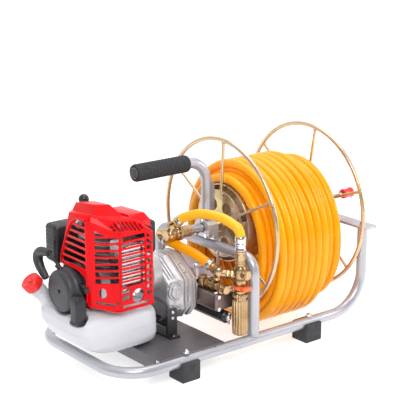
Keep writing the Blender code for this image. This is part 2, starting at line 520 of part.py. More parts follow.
# ---------------------------------------------------------------- recoil starter
new("starter_cover", BLACKP, lambda b: lathe(b, [(0, 0), (0.0290, 0), (0.0335, 0.0018), (0.0355, 0.0055), (0.0355, 0.0120), (0.0380, 0.0150), (0.0380, 0.0230), (0.0345, 0.0330), (0.0300, 0.0635),
                                                 (0.0280, 0.0635), (0.0325, 0.0325), (0.0360, 0.0225), (0.0360, 0.0160), (0.0335, 0.0130), (0.0335, 0.0060), (0.0280, 0.0025), (0, 0.0025)],
                                            P(-0.2140, 0, CRANK_Z), (1, 0, 0), 22),
    lambda b: block(b, P(-0.2085, -0.0420, 0.1300), P(-0.1970, -0.0300, 0.1480)),
    lambda b: sweep(b, [P(-0.2055, -0.0450, z) for z in (0.1440, 0.1220, 0.1080)], [0.0118, 0.0118, 0.0120], 12),
    lambda b: lathe(b, [(0, -0.002), (0.0124, -0.002), (0.0118, 0.0060), (0.0080, 0.0100), (0, 0.0115)], P(-0.2055, -0.0450, 0.1430), (0, 0, 1), 12),
    lambda b: rod(b, P(-0.2020, 0.0060, 0.1810), P(-0.2034, 0.0180, 0.1900), 0.0044, 10))
new("starter_pulley", BLACKP, lambda b: lathe(b, [(0, 0), (0.0260, 0), (0.0260, 0.0020), (0.0220, 0.0030), (0.0220, 0.0060), (0.0260, 0.0070), (0.0260, 0.0090), (0, 0.0090)],
                                             P(-0.2080, 0, CRANK_Z), (1, 0, 0), 16))
PULL = Vector((-0.10, 0.80, 0.60)).normalized()
HP = P(-0.2020, 0.0620, 0.1870)
GRIP = fillet([P(-0.2044, 0.0400, 0.2045), P(-0.2050, 0.0710, 0.2065), P(-0.2055, 0.0770, 0.1860), P(-0.2050, 0.0500, 0.1620)], 0.011, 4)
GRIP_R = [0.0052 + 0.0022 * math.sin(math.pi * k / (len(GRIP) - 1)) for k in range(len(GRIP))]
ob = new("starter_handle", BLACKP, lambda b: sweep(b, GRIP, GRIP_R, 10))

# ---------------------------------------------------------------- carburettor side
new("carburettor", ALU, lambda b: block(b, P(-0.1380, 0.0340, 0.1900), P(-0.1060, 0.0590, 0.2200), 0.0025))
new("air_cleaner", BLACKP, lambda b: block(b, P(-0.1790, 0.0595, 0.1730), P(-0.1040, 0.0960, 0.2400), 0.0080, 2))
TH = P(-0.1500, 0.0360, 0.2440)
BALL = P(-0.1383, 0.0340, 0.2860)
new("throttle_lever", STEEL, lambda b: sweep(b, [TH, TH.lerp(BALL, 0.55) + Vector((-0.004, 0, 0)), BALL + (TH - BALL).normalized() * 0.0095], 0.0021, 8),
    lambda b: rod(b, TH + Vector((0, -0.0035, 0)), TH + Vector((0, 0.0035, 0)), 0.0060, 12))
ob = new("throttle_ball", BLACKP, lambda b: lathe(b, [(0, -0.0088)] + [(0.0088 * math.sin(math.radians(a)), -0.0088 * math.cos(math.radians(a))) for a in (30, 60, 90, 120, 150)] + [(0, 0.0088)], BALL, (0, 0, 1), 12))

# ---------------------------------------------------------------- reduction gear
ob = new("gear_case", ALU, lambda b: prism(b, OCT, P(0.0025, 0, 0), *YZ, 0.0170))
cut(ob, lambda b: prism(b, arc(0, CRANK_Z, 0.0160, -20, 200, 10) + arc(0, PUMP_Z, 0.0350, 150, 390, 18), P(0.0060, 0, 0), *YZ, 0.0200))
cut(ob, lambda b: rod(b, P(-0.01, 0, CRANK_Z), P(0.02, 0, CRANK_Z), 0.0066, 18, 0.5))
ob = new("gear_cover", ALU, lambda b: prism(b, OCT, P(0.0198, 0, 0), *YZ, 0.0090))
cut(ob, lambda b: rod(b, P(0.01, 0, PUMP_Z), P(0.05, 0, PUMP_Z), 0.0066, 18, 0.5))
def gear_outline(n, m, backlash, phase):
    rp = m * n / 2
    ra, rr, al = rp + 0.85 * m, rp - 1.10 * m, math.radians(20)
    rb = rp * math.cos(al)
    inv = lambda r: math.sqrt(max(r * r / rb / rb - 1, 0)) - math.acos(min(1, rb / r)) if r > rb else 0.0
    half = (math.pi / 2 - backlash / m) / n + inv(rp)
    pts = []
    for k in range(n):
        c = 2 * math.pi * k / n + phase
        row = []
        for r in (rr, rp, ra):
            row.append((r, half - inv(r)))
        for r, a in row:
            pts.append((r * math.cos(c - a), r * math.sin(c - a)))
        for r, a in row[::-1]:
            pts.append((r * math.cos(c + a), r * math.sin(c + a)))
    return pts
ob = new("pinion", STEEL, lambda b: prism(b, gear_outline(TEETH[0], GEAR_M, 0.00020, math.radians(90) + math.pi / TEETH[0]), P(0.0080, 0, CRANK_Z), *YZ, 0.0090))
cut(ob, lambda b: rod(b, P(0.0, 0, CRANK_Z), P(0.03, 0, CRANK_Z), 0.0046, 12, 0.5))
ob = new("pump_gear", STEEL, lambda b: prism(b, gear_outline(TEETH[1], GEAR_M, 0.00020, math.radians(90)), P(0.0080, 0, PUMP_Z), *YZ, 0.0090))
cut(ob, lambda b: rod(b, P(0.0, 0, PUMP_Z), P(0.03, 0, PUMP_Z), 0.0063, 16, 0.5))

# bracket from the plate to the gear case
new("gearbox_bracket", BLACKS,
    lambda b: block(b, P(-0.0410, -0.0720, 0.0458), P(-0.0200, 0.0440, 0.0490)),
    lambda b: block(b, P(-0.0405, -0.0632, 0.0480), P(-0.0205, -0.0585, 0.0960)),
    lambda b: block(b, P(-0.0405, 0.0330, 0.0480), P(-0.0205, 0.0375, 0.0675)),
    lambda b: block(b, P(-0.0400, -0.0600, 0.0645), P(-0.0210, 0.0360, 0.0682)))

# ---------------------------------------------------------------- pump
ob = new("pump_crankcase", ALU, lambda b: block(b, P(0.0292, -0.0520, 0.0860), P(0.0760, 0.0300, 0.1560), 0.0060, 2))
cut(ob, lambda b: block(b, P(0.0340, -0.0600, 0.0920), P(0.0710, 0.0250, 0.1300)))
cut(ob, lambda b: rod(b, P(0.02, 0, PUMP_Z), P(0.0735, 0, PUMP_Z), 0.0066, 18, 0.5))
ob = new("pump_shaft", STEEL, lambda b: rod(b, P(0.0070, 0, PUMP_Z), P(0.0725, 0, PUMP_Z), 0.0060, 12))
for k in range(2):
    a = math.radians(180 * k)
    union(ob, lambda b: rod(b, P(0.0400 + 0.0150 * k, 0.0035 * math.cos(a), PUMP_Z + 0.0035 * math.sin(a)),
                            P(0.0480 + 0.0150 * k, 0.0035 * math.cos(a), PUMP_Z + 0.0035 * math.sin(a)), 0.0105, 14))
ob = new("plunger_block", ALU, lambda b: block(b, P(0.0300, -0.1060, 0.0890), P(0.0750, -0.0523, 0.1190), 0.0030, 1))
cut(ob, *[(lambda b, k=k: rod(b, P(0.0440 + 0.0150 * k, -0.04, PUMP_Z), P(0.0440 + 0.0150 * k, -0.0960, PUMP_Z), 0.0043, 12)) for k in range(2)])
for k in range(2):
    new("plunger_%d" % (k + 1), STEEL, lambda b: rod(b, P(0.0440 + 0.0150 * k, -0.0200, PUMP_Z), P(0.0440 + 0.0150 * k, -0.0850, PUMP_Z), 0.0040, 10))
new("suction_rail", BLACKS, lambda b: sweep(b, [P(0.0520, -0.0200, 0.0750), P(0.0520, -0.1080, 0.0750)], 0.0108, 16),
    lambda b: block(b, P(0.0480, -0.0800, 0.0760), P(0.0560, -0.0600, 0.0887)))
hexr = lambda b, p, d, r, n=6: rod(b, p, p + d, r, n)
D = Vector((0, -1, 0))
new("brass_manifold", BRASS,
    lambda b: rod(b, P(0.0420, -0.0560, 0.1290), P(0.0420, -0.1180, 0.1290), 0.0072, 14),
    lambda b: rod(b, P(0.0420, -0.0540, 0.1290), P(0.0420, -0.0680, 0.1290), 0.0098, 6),
    lambda b: rod(b, P(0.0420, -0.0840, 0.1290), P(0.0420, -0.0930, 0.1290), 0.0092, 6),
    lambda b: rod(b, P(0.0420, -0.0990, 0.1290), P(0.0420, -0.1090, 0.1290), 0.0092, 6),
    lambda b: rod(b, P(0.0420, -0.1130, 0.1290), P(0.0574, -0.1174, 0.1300), 0.0055, 12))
def catmull(pts, n=6):
    p = [Vector(q) for q in pts]
    p = [p[0] * 2 - p[1]] + p + [p[-1] * 2 - p[-2]]
    out = []
    for i in range(1, len(p) - 2):
        for k in range(n):
            t = k / n
            out.append(0.5 * ((2 * p[i]) + (-p[i - 1] + p[i + 1]) * t + (2 * p[i - 1] - 5 * p[i] + 4 * p[i + 1] - p[i + 2]) * t * t
                              + (-p[i - 1] + 3 * p[i] - 3 * p[i + 1] + p[i + 2]) * t ** 3))
    out.append(p[-2])
    return out
RX, RY = 0.0700, -0.1210
H1 = [P(0.0205, -0.0075, 0.2260), P(0.0300, -0.0210, 0.2365), P(0.0440, -0.0480, 0.2460), P(0.0580, -0.0840, 0.2450), P(0.0672, -0.1115, 0.2345), P(0.0692, -0.1180, 0.2275), P(0.0700, -0.1210, 0.2180)]
H2 = [P(0.0185, 0.0215, 0.1890), P(0.0255, -0.0050, 0.1834), P(0.0345, -0.0480, 0.1740), P(0.0420, -0.0780, 0.1610)]
TEE = H2[-1] + (H2[-1] - H2[-2]).normalized() * GAP * 2
new("regulator_body", BRASS,
    lambda b: lathe(b, [(0, 0.1190), (0.0100, 0.1190), (0.0100, 0.1240), (0.0082, 0.1250), (0.0082, 0.1340), (0.0108, 0.1350), (0.0108, 0.1640), (0.0080, 0.1670), (0.0080, 0.1810), (0.0094, 0.1810), (0.0094, 0.1930), (0.0078, 0.1940), (0.0078, 0.2150), (0, 0.2150)],
                    P(RX, RY, 0), (0, 0, 1), 16),
    lambda b: rod(b, P(RX, RY, 0.1540), P(RX + 0.0010, RY - 0.0190, 0.1540), 0.0076, 12),
    lambda b: rod(b, P(RX, RY, 0.1500), P(RX - 0.0230, RY + 0.0270, 0.1520), 0.0068, 12),
    lambda b: rod(b, TEE, P(0.0460, -0.0930, 0.1530), 0.0072, 12),
    lambda b: rod(b, P(0.0450, -0.0900, 0.1550), P(0.0450, -0.0900, 0.1392), 0.0058, 12))
fl = [(0.0128 - (0.0012 if k % 2 else 0.0), 2 * math.pi * k / 32) for k in range(32)]
new("regulator_knob", BRASS, lambda b: prism(b, [(r * math.cos(a), r * math.sin(a)) for r, a in fl], P(RX, RY, 0.0450), *XY, 0.0737))
new("relief_lever", ORANGE, lambda b: block(b, P(RX - 0.0105, RY - 0.0220, 0.1265), P(RX + 0.0065, RY - 0.0110, 0.1335), 0.0020, 1),
    lambda b: lathe(b, [(0.0086, 0), (0.0125, 0), (0.0125, 0.0060), (0.0086, 0.0060)], P(RX, RY, 0.1268), (0, 0, 1), 16, ring=True))

# ---------------------------------------------------------------- swivel and short hoses
N1 = (H1[0] - H1[1]).normalized()
N2 = (H2[0] - H2[1]).normalized()
bend = catmull([P(0.0100, 0.0, AXLE_Z), P(0.0118, 0.0210, 0.2045), P(0.0138, 0.0320, 0.1995), H2[0] + N2 * 0.0090, H2[0] + N2 * GAP * 2], 3)
ob = new("swivel_elbow", BRASS,
         lambda b: rod(b, P(0.0200, 0, AXLE_Z), P(0.0560, 0, AXLE_Z), 0.0105, 16),
         lambda b: rod(b, P(0.0040, 0, AXLE_Z), P(0.0240, 0, AXLE_Z), 0.0098, 12),
         lambda b: sweep(b, [P(0.0120, 0.0, AXLE_Z), H1[0] + N1 * 0.0080, H1[0] + N1 * GAP * 2], 0.0068, 10),
         lambda b: rod(b, P(0.0300, 0, AXLE_Z), P(0.0360, 0, AXLE_Z), 0.0145, 6),
         lambda b: sweep(b, bend, 0.0058, 10))
cut(ob, lambda b: rod(b, P(0.0455, 0, AXLE_Z), P(0.0600, 0, AXLE_Z), AXLE_R + GAP, 16))
new("feed_hose", HOSE, lambda b: sweep(b, catmull(H1, 3), 0.0085, 10))
new("bypass_hose", HOSE, lambda b: sweep(b, catmull(H2, 3), 0.0085, 10))

# ---------------------------------------------------------------- turning and sliding axes
def pivot(at, *names):
    for n in names:
        o = bpy.data.objects[n]
        o.data.transform(Matrix.Translation(-Vector(at)))
        o.location = at
pivot(P(0.2200, 0, AXLE_Z), "reel_axle", "wheel_rim_front", "wheel_rim_rear", "wheel_hub_front", "wheel_hub_rear", "reel_drum", "hose_coil", "crank_arm")
pivot(P(0.3900, KNOB_Y, KNOB_Z), "crank_knob")
pivot(P(0.0, 0, CRANK_Z), "crankshaft", "flywheel", "pinion")
pivot(P(-0.2035, 0, CRANK_Z), "starter_pulley")
pivot(P(0.0125, 0, PUMP_Z), "pump_gear", "pump_shaft")
pivot(P(0.0440, -0.0500, PUMP_Z), "plunger_1")
pivot(P(0.0590, -0.0500, PUMP_Z), "plunger_2")
pivot(TH, "throttle_lever", "throttle_ball")
pivot(CAP_P, "fuel_cap")
pivot(HP, "starter_handle")
pivot(P(RX, RY, 0.1300), "relief_lever")
pivot(P(RX, RY, 0.0800), "regulator_knob")
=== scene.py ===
import bpy, bmesh, math
import numpy as np
from mathutils import Vector, Matrix


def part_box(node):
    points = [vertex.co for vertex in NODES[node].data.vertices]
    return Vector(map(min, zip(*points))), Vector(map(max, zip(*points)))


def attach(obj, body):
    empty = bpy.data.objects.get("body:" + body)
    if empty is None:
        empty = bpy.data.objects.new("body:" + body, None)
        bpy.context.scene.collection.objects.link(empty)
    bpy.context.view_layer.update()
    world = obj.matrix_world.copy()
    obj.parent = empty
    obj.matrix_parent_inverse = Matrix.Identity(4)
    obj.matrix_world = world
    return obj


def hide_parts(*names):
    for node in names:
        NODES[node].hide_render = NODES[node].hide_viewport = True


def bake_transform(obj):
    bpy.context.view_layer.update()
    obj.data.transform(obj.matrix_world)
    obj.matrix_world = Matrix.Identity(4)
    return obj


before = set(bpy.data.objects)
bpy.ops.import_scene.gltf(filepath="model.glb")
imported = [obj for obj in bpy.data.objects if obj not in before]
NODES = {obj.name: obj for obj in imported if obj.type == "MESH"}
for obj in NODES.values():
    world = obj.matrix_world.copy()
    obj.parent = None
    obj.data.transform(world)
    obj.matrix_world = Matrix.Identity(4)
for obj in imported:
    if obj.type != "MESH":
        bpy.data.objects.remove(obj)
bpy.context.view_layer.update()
sc = bpy.context.scene

# every position below is given from the middle tube frame of the CAD
_lo, _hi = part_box("mid_frame")
DX = (_lo.x + _hi.x) / 2 - 0.0918
def P(x, y, z):
    return Vector((x + DX, y, z))

TUBE_R, RAIL_Y, RAIL_Z = 0.0095, 0.1317, 0.0334
FRONT_X, FRONT_BEND, POST_X, POST_BEND, POST_TOP = -0.1800, 0.0618, 0.3516, 0.0700, 0.1845
MID_X, MID_Z, AXLE_Z = 0.0918, 0.1766, 0.2034
WHEEL_R, WIRE_R, SPOKE_R = 0.1520, 0.0038, 0.0028
WHEEL_X, SPOKE_0 = (0.1251, 0.3306), (3.5, 9.5)
CRANK_Z, PUMP_Z, GRIP_Z = 0.1510, 0.1080, 0.3240
COIL_X = (0.1525, 0.2880)
HR = 0.00875

# ------------------------------------------------------------------ materials
class Nodes:
    def __init__(self, name):
        self.m = bpy.data.materials.new(name)
        self.m.use_nodes = True
        self.t = self.m.node_tree
        self.b = self.t.nodes["Principled BSDF"]
        tc = self.t.nodes.new("ShaderNodeTexCoord")
        self.co = tc.outputs["Object"]
    def n(self, kind, **props):
        x = self.t.nodes.new(kind)
        for k, v in props.items():
            setattr(x, k, v)
        return x
    def link(self, a, b):
        self.t.links.new(a, b)
    def map(self, scale):
        x = self.n("ShaderNodeMapping")
        x.inputs["Scale"].default_value = scale
        self.link(self.co, x.inputs["Vector"])
        return x.outputs["Vector"]
    def noise(self, scale, detail=3, rough=0.5, vec=None, stretch=None):
        x = self.n("ShaderNodeTexNoise")
        x.inputs["Scale"].default_value = scale
        x.inputs["Detail"].default_value = detail
        x.inputs["Roughness"].default_value = rough
        self.link(vec or (self.map(stretch) if stretch else self.co), x.inputs["Vector"])
        return x.outputs["Fac"]
    def ramp(self, fac, stops):
        x = self.n("ShaderNodeValToRGB")
        e = x.color_ramp.elements
        while len(e) < len(stops):
            e.new(0.5)
        for i, (p, c) in enumerate(stops):
            e[i].position = p
            e[i].color = (*c, 1) if len(c) == 3 else c
        self.link(fac, x.inputs["Fac"])
        return x.outputs["Color"]
    def vramp(self, fac, lo, hi, a=0.3, b=0.7):
        x = self.n("ShaderNodeMapRange")
        x.inputs["From Min"].default_value = a
        x.inputs["From Max"].default_value = b
        x.inputs["To Min"].default_value = lo
        x.inputs["To Max"].default_value = hi
        self.link(fac, x.inputs["Value"])
        return x.outputs["Result"]
    def mix(self, fac, a, b):
        x = self.n("ShaderNodeMix", data_type="RGBA")
        for sock, v in ((x.inputs[0], fac), (x.inputs[6], a), (x.inputs[7], b)):
            if hasattr(v, "links") or hasattr(v, "is_linked"):
                self.link(v, sock)
            elif isinstance(v, (int, float)):
                sock.default_value = v
            else:
                sock.default_value = (*v, 1)
        return x.outputs[2]
    def bump(self, height, strength, dist=0.0004, prev=None):
        x = self.n("ShaderNodeBump")
        x.inputs["Strength"].default_value = strength
        x.inputs["Distance"].default_value = dist
        self.link(height, x.inputs["Height"])
        if prev:
            self.link(prev, x.inputs["Normal"])
        return x.outputs["Normal"]
    def set(self, **kv):
        for k, v in kv.items():
            s = self.b.inputs[k.replace("_", " ")]
            if hasattr(v, "is_linked"):
                self.link(v, s)
            else:
                s.default_value = v
        return self.m

MATS = {}
def material(key):
    if key in MATS:
        return MATS[key]
    n = Nodes(key)
    if key == "paint_silver":
        c = n.ramp(n.noise(7, 4), [(0.3, (0.38, 0.38, 0.42)), (0.7, (0.50, 0.50, 0.54))])
        dirt = n.noise(60, 6, 0.7)
        c = n.mix(n.vramp(dirt, 0.0, 0.55, 0.60, 0.78), c, (0.24, 0.23, 0.25))
        r = n.vramp(n.noise(30, 5), 0.26, 0.42)
        m = n.set(Base_Color=c, Roughness=r, Metallic=0.55, Coat_Weight=0.25, Coat_Roughness=0.2,
                  Normal=n.bump(n.noise(900, 2), 0.10, 0.0001, n.bump(n.noise(45, 3), 0.06, 0.0006)))
    elif key == "zinc_yellow":
        c = n.ramp(n.noise(16, 4, 0.6), [(0.25, (0.42, 0.36, 0.22)), (0.45, (0.66, 0.50, 0.26)), (0.58, (0.60, 0.42, 0.33)), (0.75, (0.52, 0.53, 0.36))])
        c = n.mix(n.vramp(n.noise(120, 5, 0.7), 0, 0.6, 0.58, 0.75), c, (0.30, 0.22, 0.13))
        m = n.set(Base_Color=c, Roughness=n.vramp(n.noise(50, 4), 0.20, 0.38), Metallic=0.9,
                  Normal=n.bump(n.noise(600, 3), 0.12, 0.0001))
    elif key == "hose":
        c = n.ramp(n.noise(9, 3), [(0.3, (0.90, 0.31, 0.0)), (0.7, (0.96, 0.385, 0.0))])
        c = n.mix(n.vramp(n.noise(90, 6, 0.7), 0, 0.5, 0.62, 0.80), c, (0.70, 0.22, 0.004))
        m = n.set(Base_Color=c, Roughness=n.vramp(n.noise(40, 4), 0.20, 0.32), Specular_IOR_Level=0.17, Subsurface_Weight=0.03, Subsurface_Radius=(0.01, 0.004, 0.001),
                  Coat_Weight=0.25, Coat_Roughness=0.15, Normal=n.bump(n.noise(260, 3), 0.10, 0.0002))
    elif key == "hose_short":
        c = n.ramp(n.noise(14, 3), [(0.3, (0.93, 0.42, 0.008)), (0.7, (0.97, 0.50, 0.015))])
        m = n.set(Base_Color=c, Roughness=n.vramp(n.noise(40, 4), 0.28, 0.42), Subsurface_Weight=0.15, Subsurface_Radius=(0.01, 0.004, 0.001),
                  Coat_Weight=0.15, Coat_Roughness=0.2, Normal=n.bump(n.noise(300, 3), 0.12, 0.0002))
    elif key == "red_gloss":
        c = n.ramp(n.noise(12, 3), [(0.3, (0.58, 0.0004, 0.003)), (0.7, (0.76, 0.001, 0.005))])
        c = n.mix(n.vramp(n.noise(160, 6, 0.75), 0, 0.22, 0.62, 0.8), c, (0.92, 0.06, 0.06))
        m = n.set(Base_Color=c, Roughness=n.vramp(n.noise(25, 4), 0.20, 0.32), Specular_IOR_Level=0.14, Coat_Weight=0.05, Coat_Roughness=0.10,
                  Normal=n.bump(n.noise(500, 2), 0.05, 0.0001, n.bump(n.noise(30, 2), 0.04, 0.0008)))
    elif key == "red_cap":
        c = n.ramp(n.noise(30, 3), [(0.3, (0.70, 0.010, 0.010)), (0.7, (0.85, 0.022, 0.020))])
        m = n.set(Base_Color=c, Roughness=n.vramp(n.noise(60, 4), 0.28, 0.45), Normal=n.bump(n.noise(700, 3), 0.12, 0.0001))
    elif key == "black_plastic":
        c = n.ramp(n.noise(20, 4), [(0.3, (0.009, 0.009, 0.011)), (0.7, (0.020, 0.020, 0.023))])
        m = n.set(Base_Color=c, Roughness=n.vramp(n.noise(50, 4), 0.32, 0.50), Normal=n.bump(n.noise(1400, 2), 0.25, 0.00012))
    elif key == "grey_plastic":
        c = n.ramp(n.noise(20, 4), [(0.3, (0.030, 0.030, 0.036)), (0.7, (0.046, 0.046, 0.054))])
        m = n.set(Base_Color=c, Roughness=n.vramp(n.noise(40, 4), 0.38, 0.55), Normal=n.bump(n.noise(1300, 2), 0.30, 0.00012))
    elif key == "foam":
        c = n.ramp(n.noise(300, 4, 0.8), [(0.35, (0.012, 0.012, 0.013)), (0.7, (0.045, 0.045, 0.048))])
        m = n.set(Base_Color=c, Roughness=0.85, Normal=n.bump(n.noise(1500, 3, 0.8), 0.55, 0.0003))
    elif key == "rubber":
        c = n.ramp(n.noise(40, 5, 0.7), [(0.3, (0.020, 0.020, 0.023)), (0.7, (0.045, 0.045, 0.050))])
        m = n.set(Base_Color=c, Roughness=n.vramp(n.noise(60, 4), 0.60, 0.82), Normal=n.bump(n.noise(900, 4, 0.7), 0.30, 0.0002))
    elif key == "tank":
        c = n.ramp(n.noise(10, 3), [(0.3, (0.58, 0.58, 0.63)), (0.7, (0.69, 0.69, 0.73))])
        m = n.set(Base_Color=c, Roughness=n.vramp(n.noise(40, 4), 0.34, 0.48), Subsurface_Weight=0.35, Subsurface_Radius=(0.012, 0.012, 0.013),
                  Transmission_Weight=0.08, Normal=n.bump(n.noise(700, 3), 0.12, 0.0002, n.bump(n.noise(25, 2), 0.05, 0.001)))
    elif key == "brass":
        c = n.ramp(n.noise(35, 4), [(0.3, (0.40, 0.26, 0.13)), (0.7, (0.66, 0.46, 0.26))])
        c = n.mix(n.vramp(n.noise(140, 5, 0.7), 0, 0.6, 0.6, 0.8), c, (0.26, 0.17, 0.09))
        m = n.set(Base_Color=c, Roughness=n.vramp(n.noise(90, 4), 0.18, 0.36), Metallic=1.0,
                  Normal=n.bump(n.noise(800, 3), 0.15, 0.0001))
    elif key == "cast_alu":
        c = n.ramp(n.noise(25, 5), [(0.3, (0.50, 0.49, 0.51)), (0.7, (0.68, 0.67, 0.69))])
        c = n.mix(n.vramp(n.noise(130, 6, 0.75), 0, 0.5, 0.6, 0.8), c, (0.28, 0.26, 0.26))
        m = n.set(Base_Color=c, Roughness=n.vramp(n.noise(80, 4), 0.34, 0.52), Metallic=0.8,
                  Normal=n.bump(n.noise(650, 4, 0.7), 0.35, 0.0003))
    elif key == "alu_painted_red_reflection":
        # silver cast aluminium tinted pink: a painted red reflection in the base colour
        c = n.ramp(n.noise(25, 5), [(0.3, (0.50, 0.45, 0.46)), (0.7, (0.66, 0.60, 0.61))])
        c = n.mix(n.vramp(n.noise(130, 6, 0.75), 0, 0.5, 0.6, 0.8), c, (0.32, 0.27, 0.26))
        m = n.set(Base_Color=c, Roughness=n.vramp(n.noise(80, 4), 0.32, 0.50), Metallic=0.75,
                  Normal=n.bump(n.noise(650, 4, 0.7), 0.35, 0.0003))
    elif key == "alu_painted_shade":
        # aluminium darkened to red-brown: painted shade under the brass manifold, with a painted red reflection
        c = n.ramp(n.noise(25, 5), [(0.3, (0.15, 0.115, 0.105)), (0.7, (0.27, 0.20, 0.18))])
        c = n.mix(n.vramp(n.noise(130, 6, 0.75), 0, 0.5, 0.6, 0.8), c, (0.10, 0.07, 0.06))
        m = n.set(Base_Color=c, Roughness=n.vramp(n.noise(80, 4), 0.30, 0.48), Metallic=0.75,
                  Normal=n.bump(n.noise(650, 4, 0.7), 0.35, 0.0003))
    elif key == "steel":
        c = n.ramp(n.noise(50, 4), [(0.3, (0.50, 0.50, 0.52)), (0.7, (0.68, 0.68, 0.70))])
        m = n.set(Base_Color=c, Roughness=n.vramp(n.noise(120, 4), 0.16, 0.34), Metallic=1.0,
                  Normal=n.bump(n.noise(900, 3), 0.12, 0.0001))
    elif key == "chrome":
        c = n.ramp(n.noise(80, 3), [(0.3, (0.70, 0.70, 0.72)), (0.7, (0.82, 0.82, 0.84))])
        m = n.set(Base_Color=c, Roughness=n.vramp(n.noise(150, 3), 0.08, 0.18), Metallic=1.0,
                  Normal=n.bump(n.noise(700, 2), 0.05, 0.0001))
    elif key == "plate":
        c = n.ramp(n.noise(14, 5), [(0.3, (0.125, 0.115, 0.127)), (0.7, (0.175, 0.163, 0.177))])
        c = n.mix(n.vramp(n.noise(220, 5, 0.8), 0, 0.5, 0.62, 0.82), c, (0.25, 0.24, 0.25))
        m = n.set(Base_Color=c, Roughness=n.vramp(n.noise(45, 4), 0.30, 0.46), Metallic=0.35, Coat_Weight=0.2, Coat_Roughness=0.25,
                  Normal=n.bump(n.noise(800, 2), 0.12, 0.0001))
    elif key == "paint_black":
        c = n.ramp(n.noise(30, 4), [(0.3, (0.014, 0.013, 0.015)), (0.7, (0.030, 0.029, 0.032))])
        m = n.set(Base_Color=c, Roughness=n.vramp(n.noise(60, 4), 0.26, 0.44), Coat_Weight=0.2, Coat_Roughness=0.2,
                  Normal=n.bump(n.noise(700, 3), 0.15, 0.0001))
    elif key == "orange":
        c = n.ramp(n.noise(60, 3), [(0.3, (0.78, 0.11, 0.025)), (0.7, (0.90, 0.17, 0.04))])
        m = n.set(Base_Color=c, Roughness=n.vramp(n.noise(80, 4), 0.30, 0.46), Normal=n.bump(n.noise(900, 3), 0.15, 0.0001))
    elif key == "red_knob":
        c = n.ramp(n.noise(60, 3), [(0.3, (0.66, 0.008, 0.012)), (0.7, (0.82, 0.014, 0.020))])
        m = n.set(Base_Color=c, Roughness=n.vramp(n.noise(80, 4), 0.22, 0.36), Coat_Weight=0.3, Coat_Roughness=0.12, Normal=n.bump(n.noise(900, 3), 0.08, 0.0001))
    elif key == "floor":
        c = n.ramp(n.noise(2, 2), [(0.3, (0.60, 0.60, 0.60)), (0.7, (0.64, 0.64, 0.64))])
        m = n.set(Base_Color=c, Roughness=0.9, Emission_Color=(1, 1, 1, 1), Emission_Strength=0.66)
    MATS[key] = m
    return m

# ------------------------------------------------------------------ mesh helpers
def frame_of(axis):
    a = Vector(axis).normalized()
    h = Vector((0, 0, 1)) if abs(a.z) < 0.9 else Vector((1, 0, 0))
    u = a.cross(h).normalized()
    return a, u, a.cross(u).normalized()

def lathe(bm, prof, pos, axis, seg=32, ring=False, phase=0.0):
    a, u, v = frame_of(axis)
    pos = Vector(pos)
    rows = []
    for r, h in prof:
        if r < 1e-7:
            rows.append([bm.verts.new(pos + a * h)])
        else:
            rows.append([bm.verts.new(pos + a * h + (u * math.cos(t) + v * math.sin(t)) * r)
                         for t in (2 * math.pi * (k + phase) / seg for k in range(seg))])
    n = len(rows)
    for i in range(n if ring else n - 1):
        p, q = rows[i], rows[(i + 1) % n]
        for k in range(seg):
            j = (k + 1) % seg
            if len(p) == 1 and len(q) == 1:
                continue
            if len(p) == 1:
                bm.faces.new((p[0], q[k], q[j]))
            elif len(q) == 1:
                bm.faces.new((p[k], q[0], p[j]))
            else:
                bm.faces.new((p[k], q[k], q[j], p[j]))
    return bm

def rod(bm, p0, p1, r, seg=24, ch=0.0, phase=0.0):
    p0, p1 = Vector(p0), Vector(p1)
    d = (p1 - p0).length
    c = min(ch, r * 0.4, d * 0.3)
    prof = [(0, 0), (r - c, 0), (r, c), (r, d - c), (r - c, d), (0, d)] if c > 0 else [(0, 0), (r, 0), (r, d), (0, d)]
    return lathe(bm, prof, p0, p1 - p0, seg, phase=phase)

def block(bm, lo, hi, bevel=0.0, seg=2):
    lo, hi = Vector(lo), Vector(hi)
    r = bmesh.ops.create_cube(bm, size=1, matrix=Matrix.Translation((lo + hi) / 2) @ Matrix.Diagonal((*(hi - lo), 1)))
    if bevel:
        es = list({e for v in r["verts"] for e in v.link_edges})
        bmesh.ops.bevel(bm, geom=es, offset=bevel, segments=seg, profile=0.5, affect="EDGES")
    return bm

def prism(bm, poly, org, u, v, t):
    org, u, v = Vector(org), Vector(u).normalized(), Vector(v).normalized()
    w = u.cross(v)
    a = [bm.verts.new(org + u * p[0] + v * p[1]) for p in poly]
    b = [bm.verts.new(org + u * p[0] + v * p[1] + w * t) for p in poly]
    n = len(poly)
    bm.faces.new(a[::-1])
    bm.faces.new(b)
    for i in range(n):
        j = (i + 1) % n
        bm.faces.new((a[i], a[j], b[j], b[i]))
    return bm

def fillet(pts, rad, n=8):
    pts = [Vector(p) for p in pts]
    out = [pts[0]]
    for i in range(1, len(pts) - 1):
        p, a, b = pts[i], (pts[i - 1] - pts[i]).normalized(), (pts[i + 1] - pts[i]).normalized()
        r = rad[i - 1] if isinstance(rad, (list, tuple)) else rad
        ang = a.angle(b)
        d = r / math.tan(ang / 2)
        c = p + (a + b).normalized() * (r / math.sin(ang / 2))
        s, e = p + a * d - c, p + b * d - c
        ax = s.cross(e).normalized()
        tot = s.angle(e)
        for k in range(n + 1):
            out.append(c + Matrix.Rotation(tot * k / n, 3, ax) @ s)
    out.append(pts[-1])
    return out

def dense(pts, step):
    out = [Vector(pts[0])]
    for a, b in zip(pts, pts[1:]):
        a, b = Vector(a), Vector(b)
        k = max(1, int((b - a).length / step))
        out += [a.lerp(b, (i + 1) / k) for i in range(k)]
    return out

def catmull(pts, n=8):
    p = [Vector(q) for q in pts]
    p = [p[0] * 2 - p[1]] + p + [p[-1] * 2 - p[-2]]
    out = []
    for i in range(1, len(p) - 2):
        for k in range(n):
            t = k / n
            out.append(0.5 * ((2 * p[i]) + (-p[i - 1] + p[i + 1]) * t + (2 * p[i - 1] - 5 * p[i] + 4 * p[i + 1] - p[i + 2]) * t * t
                              + (-p[i - 1] + 3 * p[i] - 3 * p[i + 1] + p[i + 2]) * t ** 3))
    out.append(p[-2])
    return out

